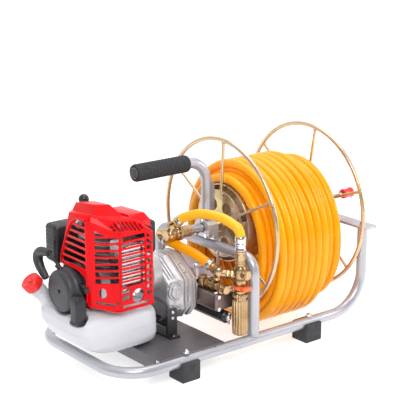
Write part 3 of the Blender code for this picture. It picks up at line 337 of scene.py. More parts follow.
def sweep(bm, pts, r, seg=24, closed=False, cap=True, hollow=0.0):
    pts = [Vector(p) for p in pts]
    n = len(pts)
    tang = []
    for i in range(n):
        if closed:
            d = pts[(i + 1) % n] - pts[i - 1]
        elif 0 < i < n - 1:
            d = (pts[i + 1] - pts[i]).normalized() + (pts[i] - pts[i - 1]).normalized()
        else:
            d = pts[min(i + 1, n - 1)] - pts[max(i - 1, 0)]
        tang.append(d.normalized())
    _, u, v = frame_of(tang[0])
    rows = []
    prev = tang[0]
    for i in range(n):
        if i:
            u = prev.rotation_difference(tang[i]) @ u
            prev = tang[i]
        u = (u - tang[i] * u.dot(tang[i])).normalized()
        v = tang[i].cross(u)
        rr = r[i] if isinstance(r, (list, tuple)) else r
        rows.append([bm.verts.new(pts[i] + (u * math.cos(2 * math.pi * k / seg) + v * math.sin(2 * math.pi * k / seg)) * rr)
                     for k in range(seg)])
    for i in range(n if closed else n - 1):
        p, q = rows[i], rows[(i + 1) % n]
        off = 0
        if closed and i == n - 1:
            off = min(range(seg), key=lambda o: (q[o].co - p[0].co).length)
        for k in range(seg):
            j = (k + 1) % seg
            bm.faces.new((p[k], p[j], q[(j + off) % seg], q[(k + off) % seg]))
    if not closed and cap:
        for ring, out in ((rows[0], -1), (rows[-1], 1)):
            bm.faces.new(ring[::-1] if out < 0 else ring)
    return bm

def hexrod(bm, p0, p1, r, ch=0.0010, phase=0.0):
    # hexagon with turned-off corners
    p0, p1 = Vector(p0), Vector(p1)
    d = (p1 - p0).length
    a, u, v = frame_of(p1 - p0)
    rows = []
    for h, f in ((0, 0.90), (ch, 1.0), (d - ch, 1.0), (d, 0.90)):
        row = []
        for k in range(24):
            t = 2 * math.pi * (k / 24 + phase)
            q = (t - 2 * math.pi * phase) % (math.pi / 3) - math.pi / 6
            rr = r * math.cos(math.pi / 6) / math.cos(q)
            rr = min(rr, r * f)
            row.append(bm.verts.new(p0 + a * h + (u * math.cos(t) + v * math.sin(t)) * rr))
        rows.append(row)
    for i in range(3):
        for k in range(24):
            j = (k + 1) % 24
            bm.faces.new((rows[i][k], rows[i][j], rows[i + 1][j], rows[i + 1][k]))
    bm.faces.new(rows[0][::-1])
    bm.faces.new(rows[-1])
    return bm

YZ = ((0, 1, 0), (0, 0, 1))
XY = ((1, 0, 0), (0, 1, 0))
XZ = ((1, 0, 0), (0, 0, 1))

def bake(ob):
    dg = bpy.context.evaluated_depsgraph_get()
    dg.update()
    me = bpy.data.meshes.new_from_object(ob.evaluated_get(dg))
    ob.modifiers.clear()
    old = ob.data
    ob.data = me
    bpy.data.meshes.remove(old)
    return ob

def shade(ob, angle=35):
    ob.data.shade_smooth()
    ob.data.set_sharp_from_angle(angle=math.radians(angle))
    return ob

def temp(bm):
    bmesh.ops.recalc_face_normals(bm, faces=bm.faces)
    me = bpy.data.meshes.new("tmp")
    bm.to_mesh(me)
    bm.free()
    o = bpy.data.objects.new("tmp", me)
    sc.collection.objects.link(o)
    return o

def boolean(ob, maker, op="DIFFERENCE"):
    b = bmesh.new()
    maker(b)
    c = temp(b)
    m = ob.modifiers.new("b", "BOOLEAN")
    m.operation = op
    m.object = c
    bake(ob)
    bpy.data.objects.remove(c, do_unlink=True)
    return ob

PIECES = []
def piece(name, mat, body, maker, replaces=(), angle=35, bevel=0.0, bseg=2, subsurf=0, union=(), cut=(), fix=True):
    b = bmesh.new()
    maker(b)
    if fix:
        bmesh.ops.remove_doubles(b, verts=b.verts, dist=1e-6)
        bmesh.ops.recalc_face_normals(b, faces=b.faces)
    me = bpy.data.meshes.new(name)
    b.to_mesh(me)
    b.free()
    ob = bpy.data.objects.new(name, me)
    sc.collection.objects.link(ob)
    for f in union:
        boolean(ob, f, "UNION")
    for f in cut:
        boolean(ob, f)
    ob.data.materials.clear()
    ob.data.materials.append(material(mat))
    if subsurf:
        m = ob.modifiers.new("s", "SUBSURF")
        m.levels = m.render_levels = subsurf
        bake(ob)
    if bevel:
        m = ob.modifiers.new("bv", "BEVEL")
        m.width = bevel
        m.segments = bseg
        m.limit_method = "ANGLE"
        m.angle_limit = math.radians(32)
        m.harden_normals = False
        bake(ob)
    shade(ob, angle)
    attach(ob, body)
    if replaces:
        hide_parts(*([replaces] if isinstance(replaces, str) else replaces))
    PIECES.append(name)
    return ob

def keep(node, mat, bevel=0.0006, seg=2, angle=35):
    # a CAD node whose shape is right: its own mesh, eased edges, a worked material
    ob = NODES[node]
    if len(ob.data.materials) == 0:
        ob.data.materials.append(None)
    for s in ob.material_slots:
        s.material = material(mat)
    if bevel:
        w = ob.modifiers.new("weld", "WELD")
        w.merge_threshold = 1e-5
        d = ob.modifiers.new("flat", "DECIMATE")
        d.decimate_type = "DISSOLVE"
        d.angle_limit = math.radians(2)
        m = ob.modifiers.new("bv", "BEVEL")
        m.width = bevel
        m.segments = seg
        m.limit_method = "ANGLE"
        m.angle_limit = math.radians(angle)
    return ob

# ------------------------------------------------------------------ skid frame
loop = fillet([P(POST_X, -RAIL_Y, POST_TOP), P(POST_X, -RAIL_Y, RAIL_Z), P(FRONT_X, -RAIL_Y, RAIL_Z),
               P(FRONT_X, RAIL_Y, RAIL_Z), P(POST_X, RAIL_Y, RAIL_Z), P(POST_X, RAIL_Y, POST_TOP)],
              [POST_BEND, FRONT_BEND, FRONT_BEND, POST_BEND], 14)
piece("skid_tube", "paint_silver", "frame", lambda b: sweep(b, dense(loop, 0.03), TUBE_R, 32), "base_frame")
mid_foot = RAIL_Z + TUBE_R + 0.0003
mid = fillet([P(MID_X, -RAIL_Y, mid_foot), P(MID_X, -RAIL_Y, MID_Z), P(MID_X, RAIL_Y, MID_Z), P(MID_X, RAIL_Y, mid_foot)], 0.026, 12)
piece("middle_tube", "paint_silver", "frame", lambda b: sweep(b, dense(mid, 0.03), TUBE_R, 32), "mid_frame")
def bead(b, c, axis, r, w=0.0022, seg=40, wob=0.25):
    # weld bead: a lumpy ring round a joint
    a, u, v = frame_of(axis)
    rows = []
    for k in range(seg):
        t = 2 * math.pi * k / seg
        d = u * math.cos(t) + v * math.sin(t)
        f = 1 + wob * math.sin(k * 2.4) * 0.5
        row = []
        for j in range(8):
            s = 2 * math.pi * j / 8
            row.append(b.verts.new(Vector(c) + d * (r + w * f * 0.55 * math.cos(s)) + a * (w * f * math.sin(s))))
        rows.append(row)
    for k in range(seg):
        p, q = rows[k], rows[(k + 1) % seg]
        for j in range(8):
            i = (j + 1) % 8
            b.faces.new((p[j], p[i], q[i], q[j]))
def all_beads(b):
    for s in (-1, 1):
        bead(b, P(MID_X, s * RAIL_Y, mid_foot - 0.0008), (0, 0, 1), TUBE_R + 0.0002)
piece("frame_welds", "paint_silver", "frame", all_beads)
keep("rear_bar", "paint_silver", 0.0008)
keep("engine_plate", "plate", 0.0005)
for t in ("front_near", "front_far", "rear_near", "rear_far"):
    keep("foot_" + t, "rubber", 0.0012, 3)
    lo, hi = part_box("foot_bolt_" + t)
    c = Vector(((lo.x + hi.x) / 2, (lo.y + hi.y) / 2, lo.z))
    def bolt(b, c=c):
        lathe(b, [(0, 0), (0.0060, 0), (0.0062, 0.0003), (0.0062, 0.0010), (0.0060, 0.0012), (0, 0.0012)], c, (0, 0, 1), 32)
        hexrod(b, c + Vector((0, 0, 0.0012)), c + Vector((0, 0, 0.0046)), 0.0052)
        lathe(b, [(0, 0.0046), (0.0028, 0.0046), (0.0028, 0.0058), (0.0022, 0.0062), (0, 0.0062)], c, (0, 0, 1), 20)
    piece("bolt_" + t, "chrome", "frame", bolt, "foot_bolt_" + t)

# nut and stud at the near end of the rear bar
def bar_nuts(b):
    for s in (-1, 1):
        c = P(POST_X, s * RAIL_Y, POST_TOP + 0.0003 + 0.0055)
        lathe(b, [(0, 0), (0.0062, 0), (0.0064, 0.0004), (0.0062, 0.0011), (0, 0.0011)], c, (0, 0, 1), 28)
        hexrod(b, c + Vector((0, 0, 0.0011)), c + Vector((0, 0, 0.0045)), 0.0055)
        rod(b, c + Vector((0, 0, 0.0040)), c + Vector((0, 0, 0.0062)), 0.0030, 16, 0.0004)
piece("bar_nuts", "chrome", "frame", bar_nuts)

# ------------------------------------------------------------------ carrying handle
hp = fillet([P(0.0940, 0, 0.2230), P(0.0940, 0, GRIP_Z), P(-0.0606, 0, GRIP_Z)], 0.040, 16)
def handle(b):
    sweep(b, dense(hp, 0.02), TUBE_R, 32)
piece("handle_tube_fine", "paint_silver", "frame", handle, "handle_tube",
      union=[lambda b: block(b, P(0.0835, -0.0130, 0.2212), P(0.1060, 0.0130, 0.2250), 0.0008),
             lambda b: prism(b, [(0.0985, 0.2240), (0.1110, 0.2240), (0.1110, 0.2740), (0.1065, 0.2850), (0.0985, 0.2850)], P(0, 0.0022, 0), *XZ, 0.0044)])
piece("handle_weld", "paint_silver", "frame", lambda b: bead(b, P(0.0940, 0, 0.2254), (0, 0, 1), TUBE_R, 0.0020))
def grip(b):
    n = 15
    L = 0.110
    prof = [(TUBE_R + 0.0003, 0.0)]
    prof += [(0.0128, 0.0), (0.0140, 0.0006)]
    for k in range(n):
        h0, h1 = 0.0015 + (L - 0.003) * k / n, 0.0015 + (L - 0.003) * (k + 1) / n
        w = h1 - h0
        prof += [(0.01425, h0 + w * 0.04), (0.01480, h0 + w * 0.18), (0.01500, h0 + w * 0.40), (0.01500, h0 + w * 0.60), (0.01480, h0 + w * 0.82), (0.01425, h0 + w * 0.96)]
    prof += [(0.0140, L - 0.0006), (0.0128, L), (TUBE_R + 0.0003, L)]
    lathe(b, prof, P(0.0500, 0, GRIP_Z), (-1, 0, 0), 48, ring=True)
piece("grip_foam", "foam", "frame", grip, "handle_grip", angle=50)
piece("handle_end_cap", "grey_plastic", "frame", lambda b: lathe(b, [(0, -0.0010), (0.0086, -0.0010), (0.0090, -0.0002), (0.0088, 0.0010), (0.0050, 0.0016), (0, 0.0017)], P(-0.0611, 0, GRIP_Z), (-1, 0, 0), 32))

# ------------------------------------------------------------------ bearings
keep("front_bearing", "cast_alu", 0.0010, 3)
keep("rear_bearing", "paint_silver", 0.0008, 2)
def bearing_bits(b):
    lo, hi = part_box("front_bearing")
    for y, z in ((-0.0140, 0.1915), (0.0140, 0.1915)):
        hexrod(b, P(0.0834, y, z), P(0.0800, y, z), 0.0042)
    lathe(b, [(0, 0), (0.0042, 0), (0.0042, 0.002), (0.0030, 0.0030), (0, 0.0032)], P(0.0830, -0.0004, 0.2155), (-1, -0.25, 0.35), 16)
    for s in (-1, 1):
        hexrod(b, P(0.0895, s * 0.0250, 0.1863), P(0.0895, s * 0.0250, 0.1905), 0.0048)
        rod(b, P(0.0895, s * 0.0250, 0.1900), P(0.0895, s * 0.0250, 0.1935), 0.0026, 14, 0.0004)
piece("bearing_screws", "chrome", "frame", bearing_bits)
def saddle(b):
    block(b, P(0.0850, -0.0330, 0.1862), P(0.1010, 0.0330, 0.1880), 0.0007)
piece("bearing_strap", "paint_silver", "frame", saddle)
keep("reel_axle", "steel", 0.0006, 2)

# ------------------------------------------------------------------ reel wheels
def spoke_dir(i, k):
    a = math.radians(SPOKE_0[i] + 60 * k)
    return Vector((0, -math.sin(a), math.cos(a)))
for i, tag in enumerate(("front", "rear")):
    x = WHEEL_X[i]
    c = P(x, 0, AXLE_Z)
    s = -1 if i == 0 else 1
    n = 120
    ring = [c + Vector((0, -math.sin(2 * math.pi * k / n), math.cos(2 * math.pi * k / n))) * WHEEL_R for k in range(n)]
    piece("rim_wire_" + tag, "zinc_yellow", "reel", lambda b: sweep(b, ring, WIRE_R, 16, closed=True), "wheel_rim_" + tag, angle=60)
    def hubdisc(b):
        lathe(b, [(0.0084, -0.0050), (0.0145, -0.0050), (0.0150, -0.0045), (0.0150, -0.0016), (0.0200, -0.0016), (0.0225, -0.0024), (0.0480, -0.0024), (0.0505, -0.0016),
                  (0.0600, -0.0016), (0.0610, -0.0012), (0.0610, 0.0010), (0.0606, 0.0016), (0.0505, 0.0016), (0.0480, 0.0008), (0.0225, 0.0008), (0.0200, 0.0016), (0.0084, 0.0016)],
              c, (-s, 0, 0), 72, ring=True)
    cuts = []
    for k in range(6):
        a = math.radians(SPOKE_0[i] + 30 + 60 * k)
        h = c + Vector((0, -math.sin(a), math.cos(a))) * 0.0370
        cuts.append(lambda b, h=h: rod(b, h - Vector((0.01, 0, 0)), h + Vector((0.01, 0, 0)), 0.0115, 28))
    for k in range(6):
        a = math.radians(SPOKE_0[i] + 60 * k + 8)
        h = c + Vector((0, -math.sin(a), math.cos(a))) * 0.0545
        cuts.append(lambda b, h=h: rod(b, h - Vector((0.01, 0, 0)), h + Vector((0.01, 0, 0)), 0.0026, 16))
    piece("hub_" + tag, "zinc_yellow", "reel", hubdisc, "wheel_hub_" + tag, cut=cuts, bevel=0.0003, bseg=1)
    def spokes(b):
        for k in range(6):
            d = spoke_dir(i, k)
            sweep(b, [c + d * 0.0455, c + d * (WHEEL_R - 0.0005)], SPOKE_R, 16)
    piece("spokes_" + tag, "zinc_yellow", "reel", spokes)
    def spoke_welds(b):
        for k in range(6):
            d = spoke_dir(i, k)
            bead(b, c + d * (WHEEL_R - WIRE_R - 0.0004), d, SPOKE_R, 0.0015, 20, 0.5)
            e = Vector((0, d.z, -d.y))
            for q in range(7):
                f = 1 + 0.25 * math.sin(q * 2.1 + k)
                lathe(b, [(0, -0.0014 * f), (0.0014 * f, -0.0006), (0.0014 * f, 0.0006), (0, 0.0014 * f)], c + d * (0.0475 + 0.0018 * q) + e * 0.0030 * (1 if q % 2 else -1), d, 8)
    piece("spoke_welds_" + tag, "zinc_yellow", "reel", spoke_welds, angle=80)
piece("drum_tube", "zinc_yellow", "reel", lambda b: lathe(b, [(0.0686, 0.0063), (0.0703, 0.0063), (0.0705, 0.0066), (0.0705, 0.1989), (0.0703, 0.1992), (0.0686, 0.1992)], P(WHEEL_X[0], 0, AXLE_Z), (1, 0, 0), 72, ring=True), "reel_drum")

# ------------------------------------------------------------------ wound hose, turn by turn
def coil_loop(t, s):
    c, n = math.cos(t), math.sin(t)
    ay = 0.0890 + (0.1345 - 0.0890) * s
    z0 = 0.1640
    if n >= 0:
        az = 0.2756 + (0.3115 - 0.2756) * s
        return ay * c, z0 + (az - z0) * n
    az = 0.0640 + (0.0125 - 0.0640) * s
    e = 2.3
    return ay * math.copysign(abs(c) ** (2 / e), c), z0 - (z0 - az) * abs(n) ** (2 / e)
def wound(b):
    # three layers; each is one continuous helix of turns laid side by side
    layers = [(0.19, 0.1405, 0.3135, 10.0, 1), (0.50, 0.1470, 0.3060, 9.0, -1), (0.81, 0.1612, 0.2793, 7.0, 1)]
    for li, (s, xa, xb, turns, sense) in enumerate(layers):
        m = 88
        # both ends of a layer stop on the far side, where the next layer covers them
        j0, j1 = (-0.30, turns - 0.28) if sense > 0 else (0.28, turns + 0.28)
        pts = []
        for j in range(int(j0 * m), int(j1 * m) + 1):
            t = math.pi / 2 + sense * 2 * math.pi * j / m
            # each turn runs nearly square to the axle and steps over in its lower part
            turn = j / m
            fr = turn - math.floor(turn)
            step = math.floor(turn) + (0.5 - 0.5 * math.cos(math.pi * min(1, max(0, (fr - 0.35) / 0.40))))
            x = xa + (xb - xa) * min(max(step, 0), turns) / turns
            wob = 0.0007 * math.sin(3 * t + li * 2 + 1.7 * math.floor(turn)) + 0.0006 * math.sin(5.3 * turn + li)
            y, z = coil_loop(t, s + 0.006 * math.sin(2.3 * turn + li))
            pts.append(P(x + wob, y, z))
        sweep(b, pts, HR * 0.965, 16)
piece("hose_wound", "hose", "reel", wound, "hose_coil", angle=60)

# winding crank
KY, KZ = -0.0480, AXLE_Z + 0.0200
kv = Vector((0, KY, KZ - AXLE_Z)).normalized()
def crank(b):
    sweep(b, fillet([P(0.3777, 0, AXLE_Z) + kv * 0.002, P(0.3777, KY, KZ) - kv * 0.0, P(0.4070, KY, KZ)], 0.0022, 6), 0.0031, 16)
piece("crank_rod", "zinc_yellow", "reel", crank, "crank_arm",
      union=[lambda b: lathe(b, [(0, 0), (0.0112, 0), (0.0120, 0.0008), (0.0120, 0.0054), (0.0112, 0.0062), (0.0055, 0.0062), (0.0050, 0.0078), (0, 0.0080)], P(0.3744, 0, AXLE_Z), (1, 0, 0), 32)])
piece("crank_washer", "chrome", "reel", lambda b: lathe(b, [(0, 0), (0.0046, 0), (0.0050, 0.0004), (0.0050, 0.0024), (0.0040, 0.0034), (0, 0.0036)], P(0.4066, KY, KZ), (1, 0, 0), 20))
def knob(b):
    prof = [(0.0034, 0.0), (0.0078, 0.0), (0.0088, 0.0008), (0.0094, 0.0030), (0.0090, 0.0070), (0.0084, 0.0120), (0.0088, 0.0165), (0.0098, 0.0200), (0.0094, 0.0232), (0.0080, 0.0243), (0.0034, 0.0245)]
    lathe(b, prof, P(0.3815, KY, KZ), (1, 0, 0), 40, ring=True)
piece("crank_grip", "red_knob", "knob", knob, "crank_knob", angle=50)

# ------------------------------------------------------------------ fuel tank
NECK = Vector((-0.62, 0.10, 0.78)).normalized()
NECK_P = P(-0.1960, 0.0570, 0.1140)
CAP_P = NECK_P + NECK * 0.0400
def tank(b):
    key = [(0.0495, 0.012, 0.030), (0.0540, 0.004, 0.020), (0.0640, 0.0, 0.012), (0.0900, 0.0, 0.002), (0.1060, 0.001, 0.0), (0.1140, 0.007, 0.0), (0.1200, 0.018, 0.002), (0.1250, 0.032, 0.004)]
    zs = [0.0497, 0.0505, 0.0520, 0.0545, 0.0590, 0.0650, 0.0740, 0.0820, 0.0900, 0.0980, 0.1050, 0.1090, 0.1130, 0.1160, 0.1190, 0.1220, 0.1248]
    rows = []
    for z in zs:
        ins = float(np.interp(z, [k[0] for k in key], [k[1] for k in key]))
        bk = float(np.interp(z, [k[0] for k in key], [k[2] for k in key]))
        x0, x1, y0, y1 = -0.2180 + bk * 1.4 + ins, -0.0560 - ins, -0.0745 + ins, 0.0790 - ins
        if z > 0.1:
            x1 -= (z - 0.1) * 0.4
        cx, cy, ax, ay = (x0 + x1) / 2, (y0 + y1) / 2, (x1 - x0) / 2, (y1 - y0) / 2
        row = []
        for k in range(56):
            t = 2 * math.pi * k / 56
            c, s = math.cos(t), math.sin(t)
            e = 2 / 5.0
            row.append(b.verts.new(P(cx + ax * math.copysign(abs(c) ** e, c), cy + ay * math.copysign(abs(s) ** e, s), z)))
        rows.append(row)
    for i in range(len(rows) - 1):
        for k in range(56):
            j = (k + 1) % 56
            b.faces.new((rows[i][k], rows[i][j], rows[i + 1][j], rows[i + 1][k]))
    b.faces.new(rows[0][::-1])
    b.faces.new(rows[-1])
def tank_pocket(b):
    lathe(b, [(0, 0), (0.0402, 0), (0.0402, 0.0420), (0.0362, 0.0560), (0.0325, 0.0860), (0, 0.0860)], P(-0.2350, 0, CRANK_Z), (1, 0, 0), 48, phase=0.5)
def soften(ob, voxel, it=6, f=0.5):
    m = ob.modifiers.new("r", "REMESH")
    m.mode = "VOXEL"
    m.voxel_size = voxel
    m = ob.modifiers.new("s", "SMOOTH")
    m.factor = f
    m.iterations = it
    bake(ob)
    shade(ob, 60)
tk = piece("tank_moulded", "tank", "frame", tank, "fuel_tank",
           union=[lambda b: lathe(b, [(0, 0), (0.0155, 0), (0.0140, 0.028), (0.0130, 0.032), (0.0130, 0.0590), (0, 0.0590)], NECK_P - NECK * 0.02, NECK, 40)],
           cut=[tank_pocket, lambda b: rod(b, P(-0.2055, -0.0450, 0.1050), P(-0.2055, -0.0450, 0.1500), 0.0150, 32, phase=0.5),
                lambda b: block(b, P(-0.2090, -0.0440, 0.1175), P(-0.1955, -0.0280, 0.1600))])
soften(tk, 0.0016, 7)
tk.data.materials.clear()
tk.data.materials.append(material("tank"))
def seam(b):
    pts = []
    bk = 0.002 + (0.012 - 0.002) * (0.0900 - 0.0870) / 0.026
    x0, x1, y0, y1 = -0.2180 + bk * 1.4, -0.0560, -0.0745, 0.0790
    cx, cy, ax, ay = (x0 + x1) / 2, (y0 + y1) / 2, (x1 - x0) / 2, (y1 - y0) / 2
    for k in range(96):
        t = 2 * math.pi * k / 96
        c, s = math.cos(t), math.sin(t)
        e = 2 / 5.0
        pts.append(P(cx + (ax - 0.0004) * math.copysign(abs(c) ** e, c), cy + (ay - 0.0004) * math.copysign(abs(s) ** e, s), 0.0870))
    sweep(b, pts, 0.0010, 8, closed=True)
piece("tank_seam", "tank", "frame", seam, angle=70)
def neck_rings(b):
    for h in (0.0255, 0.0310, 0.0360):
        lathe(b, [(0.0125, 0), (0.0139, 0.0006), (0.0139, 0.0014), (0.0125, 0.0020)], NECK_P + NECK * h, NECK, 40, ring=True)
piece("neck_thread", "tank", "frame", neck_rings)
def cap(b):
    n = 72
    rows = []
    for r, h, f in ((0.0160, 0.0004, 0), (0.0175, 0.0010, 1), (0.0180, 0.0030, 1), (0.0180, 0.0120, 1), (0.0172, 0.0148, 1), (0.0156, 0.0162, 0.5), (0.0128, 0.0166, 0), (0.0118, 0.0158, 0), (0.0060, 0.0156, 0), (0.0050, 0.0172, 0)):
        row = []
        for k in range(n):
            t = 2 * math.pi * k / n
            q = abs(((t * 6 / (2 * math.pi)) % 1) - 0.5) * 2
            rr = r * (1 - 0.075 * f * (1 - q) ** 1.5) - 0.0004 * f * (k % 3 == 0)
            row.append(b.verts.new(CAP_P + frame_of(NECK)[1] * rr * math.cos(t) + frame_of(NECK)[2] * rr * math.sin(t) + NECK * h))
        rows.append(row)
    for i in range(len(rows) - 1):
        for k in range(n):
            j = (k + 1) % n
            b.faces.new((rows[i][k], rows[i][j], rows[i + 1][j], rows[i + 1][k]))
    b.faces.new(rows[0][::-1])
    b.faces.new(rows[-1])
piece("cap_moulded", "red_cap", "cap", cap, "fuel_cap", angle=40)

# ------------------------------------------------------------------ engine cover
WALL = 0.0022
BODY = [(-0.1890, 0.0290, 0.1500), (-0.1890, -0.0470, 0.1345), (-0.1845, -0.0535, 0.1330), (-0.1550, -0.0772, 0.1242), (-0.1470, -0.0800, 0.1236),
        (-0.0830, -0.0800, 0.1236), (-0.0790, -0.0765, 0.1236), (-0.0790, 0.0180, 0.1236),
        (-0.1890, 0.0290, 0.1980), (-0.1890, 0.0200, 0.2240), (-0.1890, -0.0470, 0.2760), (-0.1845, -0.0535, 0.2755), (-0.1550, -0.0772, 0.2590), (-0.1470, -0.0800, 0.2570),
        (-0.0830, -0.0800, 0.2470), (-0.0790, -0.0765, 0.2455), (-0.0790, 0.0180, 0.2440),
        (-0.1870, 0.0040, 0.2790), (-0.1800, -0.0500, 0.2855), (-0.1520, -0.0640, 0.2745), (-0.1080, -0.0630, 0.2700), (-0.0850, -0.0640, 0.2560),
        (-0.0840, 0.0180, 0.2540), (-0.1700, 0.0180, 0.2780), (-0.1100, 0.0180, 0.2660)]
HUMP1 = [(-0.1760, -0.0540, 0.2800), (-0.1160, -0.0520, 0.2690), (-0.1100, 0.0180, 0.2620), (-0.1760, 0.0180, 0.2700),
         (-0.1660, -0.0400, 0.2975), (-0.1385, -0.0410, 0.2935), (-0.1330, 0.0150, 0.2870), (-0.1660, 0.0150, 0.2900)]
HUMP2 = [(-0.1090, -0.0640, 0.2600), (-0.0715, -0.0625, 0.2480), (-0.0700, 0.0180, 0.2460), (-0.1090, 0.0180, 0.2500),
         (-0.0700, -0.0560, 0.2610), (-0.0700, 0.0180, 0.2580),
         (-0.1090, -0.0500, 0.2730), (-0.0770, -0.0500, 0.2715), (-0.0760, 0.0150, 0.2680), (-0.1090, 0.0150, 0.2690)]
def hull(b, pts):
    t = bmesh.new()
    bmesh.ops.convex_hull(t, input=[t.verts.new(P(*p)) for p in pts])
    bmesh.ops.delete(t, geom=[v for v in t.verts if not v.link_faces], context="VERTS")
    bmesh.ops.dissolve_limit(t, angle_limit=math.radians(1.5), verts=t.verts[:], edges=t.edges[:])
    bmesh.ops.recalc_face_normals(t, faces=t.faces[:])
    me = bpy.data.meshes.new("hull")
    t.to_mesh(me)
    t.free()
    b.from_mesh(me)
    bpy.data.meshes.remove(me)
def inside(pts, mid, zdrop, zlow, open_x):
    out = []
    for x, y, z in pts:
        xi = x + WALL if x < mid else (x + 0.0200 if open_x and x > -0.081 else x - WALL)
        yi = 0.0400 if y > 0.012 else (y + WALL if y < -0.045 else y)
        out.append((xi, yi, z - zdrop if z < zlow else z - WALL * 1.1))
    return out
def slotpoly(a0, a1, z0, h, z1=None):
    # long slot with rounded corners; z1 is the other end's height
    z1 = z0 if z1 is None else z1
    q = min(h / 2, 0.0022)
    out = []
    for ca, cz, st in ((a0 + q, z0 + q, 180), (a1 - q, z1 + q, 270), (a1 - q, z1 + h - q, 0), (a0 + q, z0 + h - q, 90)):
        for k in range(5):
            t = math.radians(st + 22.5 * k)
            out.append((ca + q * math.cos(t), cz + q * math.sin(t)))
    return out
FACE_Z = [0.1945 + 0.0117 * k for k in range(7)]
def face_edge(z):
    # where the end face's slats stop, on the far side
    return float(np.interp(z, [0.196, 0.2114, 0.235, 0.2578, 0.2731], [0.0255, 0.0215, 0.0125, -0.0010, -0.0190]))
def face_slots(b):
    for z in FACE_Z:
        prism(b, slotpoly(-0.0440, face_edge(z + 0.004), z, 0.0086), P(-0.20, 0, 0), *YZ, 0.0200)
def side_slots(b):
    for k in range(10):
        z = 0.1412 + 0.0110 * k
        x1 = -0.0975 if k > 1 else -0.1275
        prism(b, slotpoly(-0.1437, x1, z, 0.0080), P(0, -0.070, 0), *XZ, 0.03)
    for k in range(8):
        z = 0.1415 + 0.0110 * k
        prism(b, slotpoly(-0.0940, -0.0856, z, 0.0070), P(0, -0.070, 0), *XZ, 0.03)
    for z in (0.2310, 0.2405):
        prism(b, [(-0.0940, z), (-0.0868, z - 0.0012), (-0.0900, z + 0.0050), (-0.0940, z + 0.0060)], P(0, -0.070, 0), *XZ, 0.03)
    prism(b, slotpoly(-0.1430, -0.0885, 0.1278, 0.0050), P(0, -0.070, 0), *XZ, 0.03)
CU = Vector((0.0295, -0.0237, 0)).normalized()
CN = Vector((CU.y, -CU.x, 0))
CC = P(-0.1700, -0.0652, 0)
def corner_slots(b):
    org = CC + CN * 0.012
    t = -0.024 if CU.cross(Vector((0, 0, 1))).dot(CN) > 0 else 0.024
    for k in range(7):
        z = 0.1722 + 0.0113 * k
        prism(b, slotpoly(-0.0125, 0.0252, z, 0.0085), org, CU, (0, 0, 1), t)
    z = 0.1722 + 0.0113 * 7
    prism(b, [(-0.0125, z), (0.0020, z), (0.0010, z + 0.0020), (-0.0110, z + 0.0088), (-0.0125, z + 0.0080)], org, CU, (0, 0, 1), t)
    prism(b, slotpoly(-0.0130, 0.0200, 0.1375, 0.0046, 0.1335), org, CU, (0, 0, 1), t)
    prism(b, [(-0.0010 + 0.0060 * math.cos(q), 0.1535 + 0.0068 * math.sin(q) + (0.0042 if math.sin(q) > 0.5 else 0)) for q in [2 * math.pi * i / 20 for i in range(20)]], org, CU, (0, 0, 1), t)
def top_slots(b):
    for k in range(8):
        c = P(-0.1550 + 0.0078 * k, -0.0728, 0.2640 - max(0, k - 3) * 0.0016)
        u = Vector((0.86, 0, -0.10)).normalized()
        v = Vector((-0.26, 0.62, 0.72)).normalized()
        L = 0.0092 if 0 < k < 7 else 0.0058
        prism(b, [(-0.0014, -L), (0.0014, -L), (0.0027, -L * 0.8), (0.0027, L * 0.8), (0.0014, L), (-0.0014, L), (-0.0027, L * 0.8), (-0.0027, -L * 0.8)], c - u.cross(v).normalized() * 0.006, u, v, 0.012)
def starter_arch(b):
    prism(b, [(0.05, 0.10), (-0.0470, 0.10), (-0.0470, 0.1770), (-0.0400, 0.1830), (-0.0300, 0.1870), (-0.0180, 0.1895), (0.05, 0.1895)], P(-0.20, 0, 0), *YZ, 0.0260)
def cover():
    b = bmesh.new()
    hull(b, BODY)
    ob = temp(b)
    ob.name = ob.data.name = "cover_moulded"
    boolean(ob, lambda b: hull(b, HUMP1), "UNION")
    boolean(ob, lambda b: hull(b, HUMP2), "UNION")
    b = bmesh.new()
    b.from_mesh(ob.data)
    bmesh.ops.remove_doubles(b, verts=b.verts, dist=1e-5)
    bmesh.ops.dissolve_limit(b, angle_limit=math.radians(2), verts=b.verts[:], edges=b.edges[:])
    b.to_mesh(ob.data)
    b.free()
    m = ob.modifiers.new("b", "BEVEL")
    m.width = 0.0026
    m.segments = 3
    m.limit_method = "ANGLE"
    m.angle_limit = math.radians(14)
    bake(ob)
    for f in (lambda b: hull(b, inside(BODY, -0.13, 0.0250, 0.20, True)), lambda b: hull(b, inside(HUMP1, -0.145, 0.0140, 0.2810, False)), lambda b: hull(b, inside(HUMP2, -0.095, 0.0120, 0.2605, False)),
              starter_arch, face_slots, side_slots, corner_slots, top_slots):
        boolean(ob, f)
    boolean(ob, lambda b: rod(b, P(-0.1120, -0.095, 0.1445), P(-0.1120, -0.06, 0.1445), 0.0118, 40))
    m = ob.modifiers.new("b", "BEVEL")
    m.width = 0.0004
    m.segments = 1
    m.limit_method = "ANGLE"
    m.angle_limit = math.radians(60)
    bake(ob)
    ob.data.materials.clear()
    ob.data.materials.append(material("red_gloss"))
    shade(ob, 38)
    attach(ob, "frame")
    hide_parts("engine_shroud")
cover()
def frame_lip(b):
    # raised rim round the end face's slats
    pts = [P(-0.1892, y, z) for y, z in ((-0.0462, 0.1400), (-0.0462, 0.1600), (-0.0462, 0.1765), (-0.0395, 0.1832), (-0.0300, 0.1872), (-0.0180, 0.1897), (0.0050, 0.1896), (0.0240, 0.1893),
            (0.0278, 0.1925), (0.0268, 0.2020), (0.0232, 0.2120), (0.0185, 0.2230), (0.0135, 0.2350), (0.0072, 0.2470), (0.0012, 0.2578), (-0.0080, 0.2670), (-0.0190, 0.2735), (-0.0300, 0.2765), (-0.0440, 0.2762))]
    sweep(b, catmull(pts, 3), 0.0014, 10)
piece("arch_lip", "red_gloss", "frame", frame_lip, angle=60)
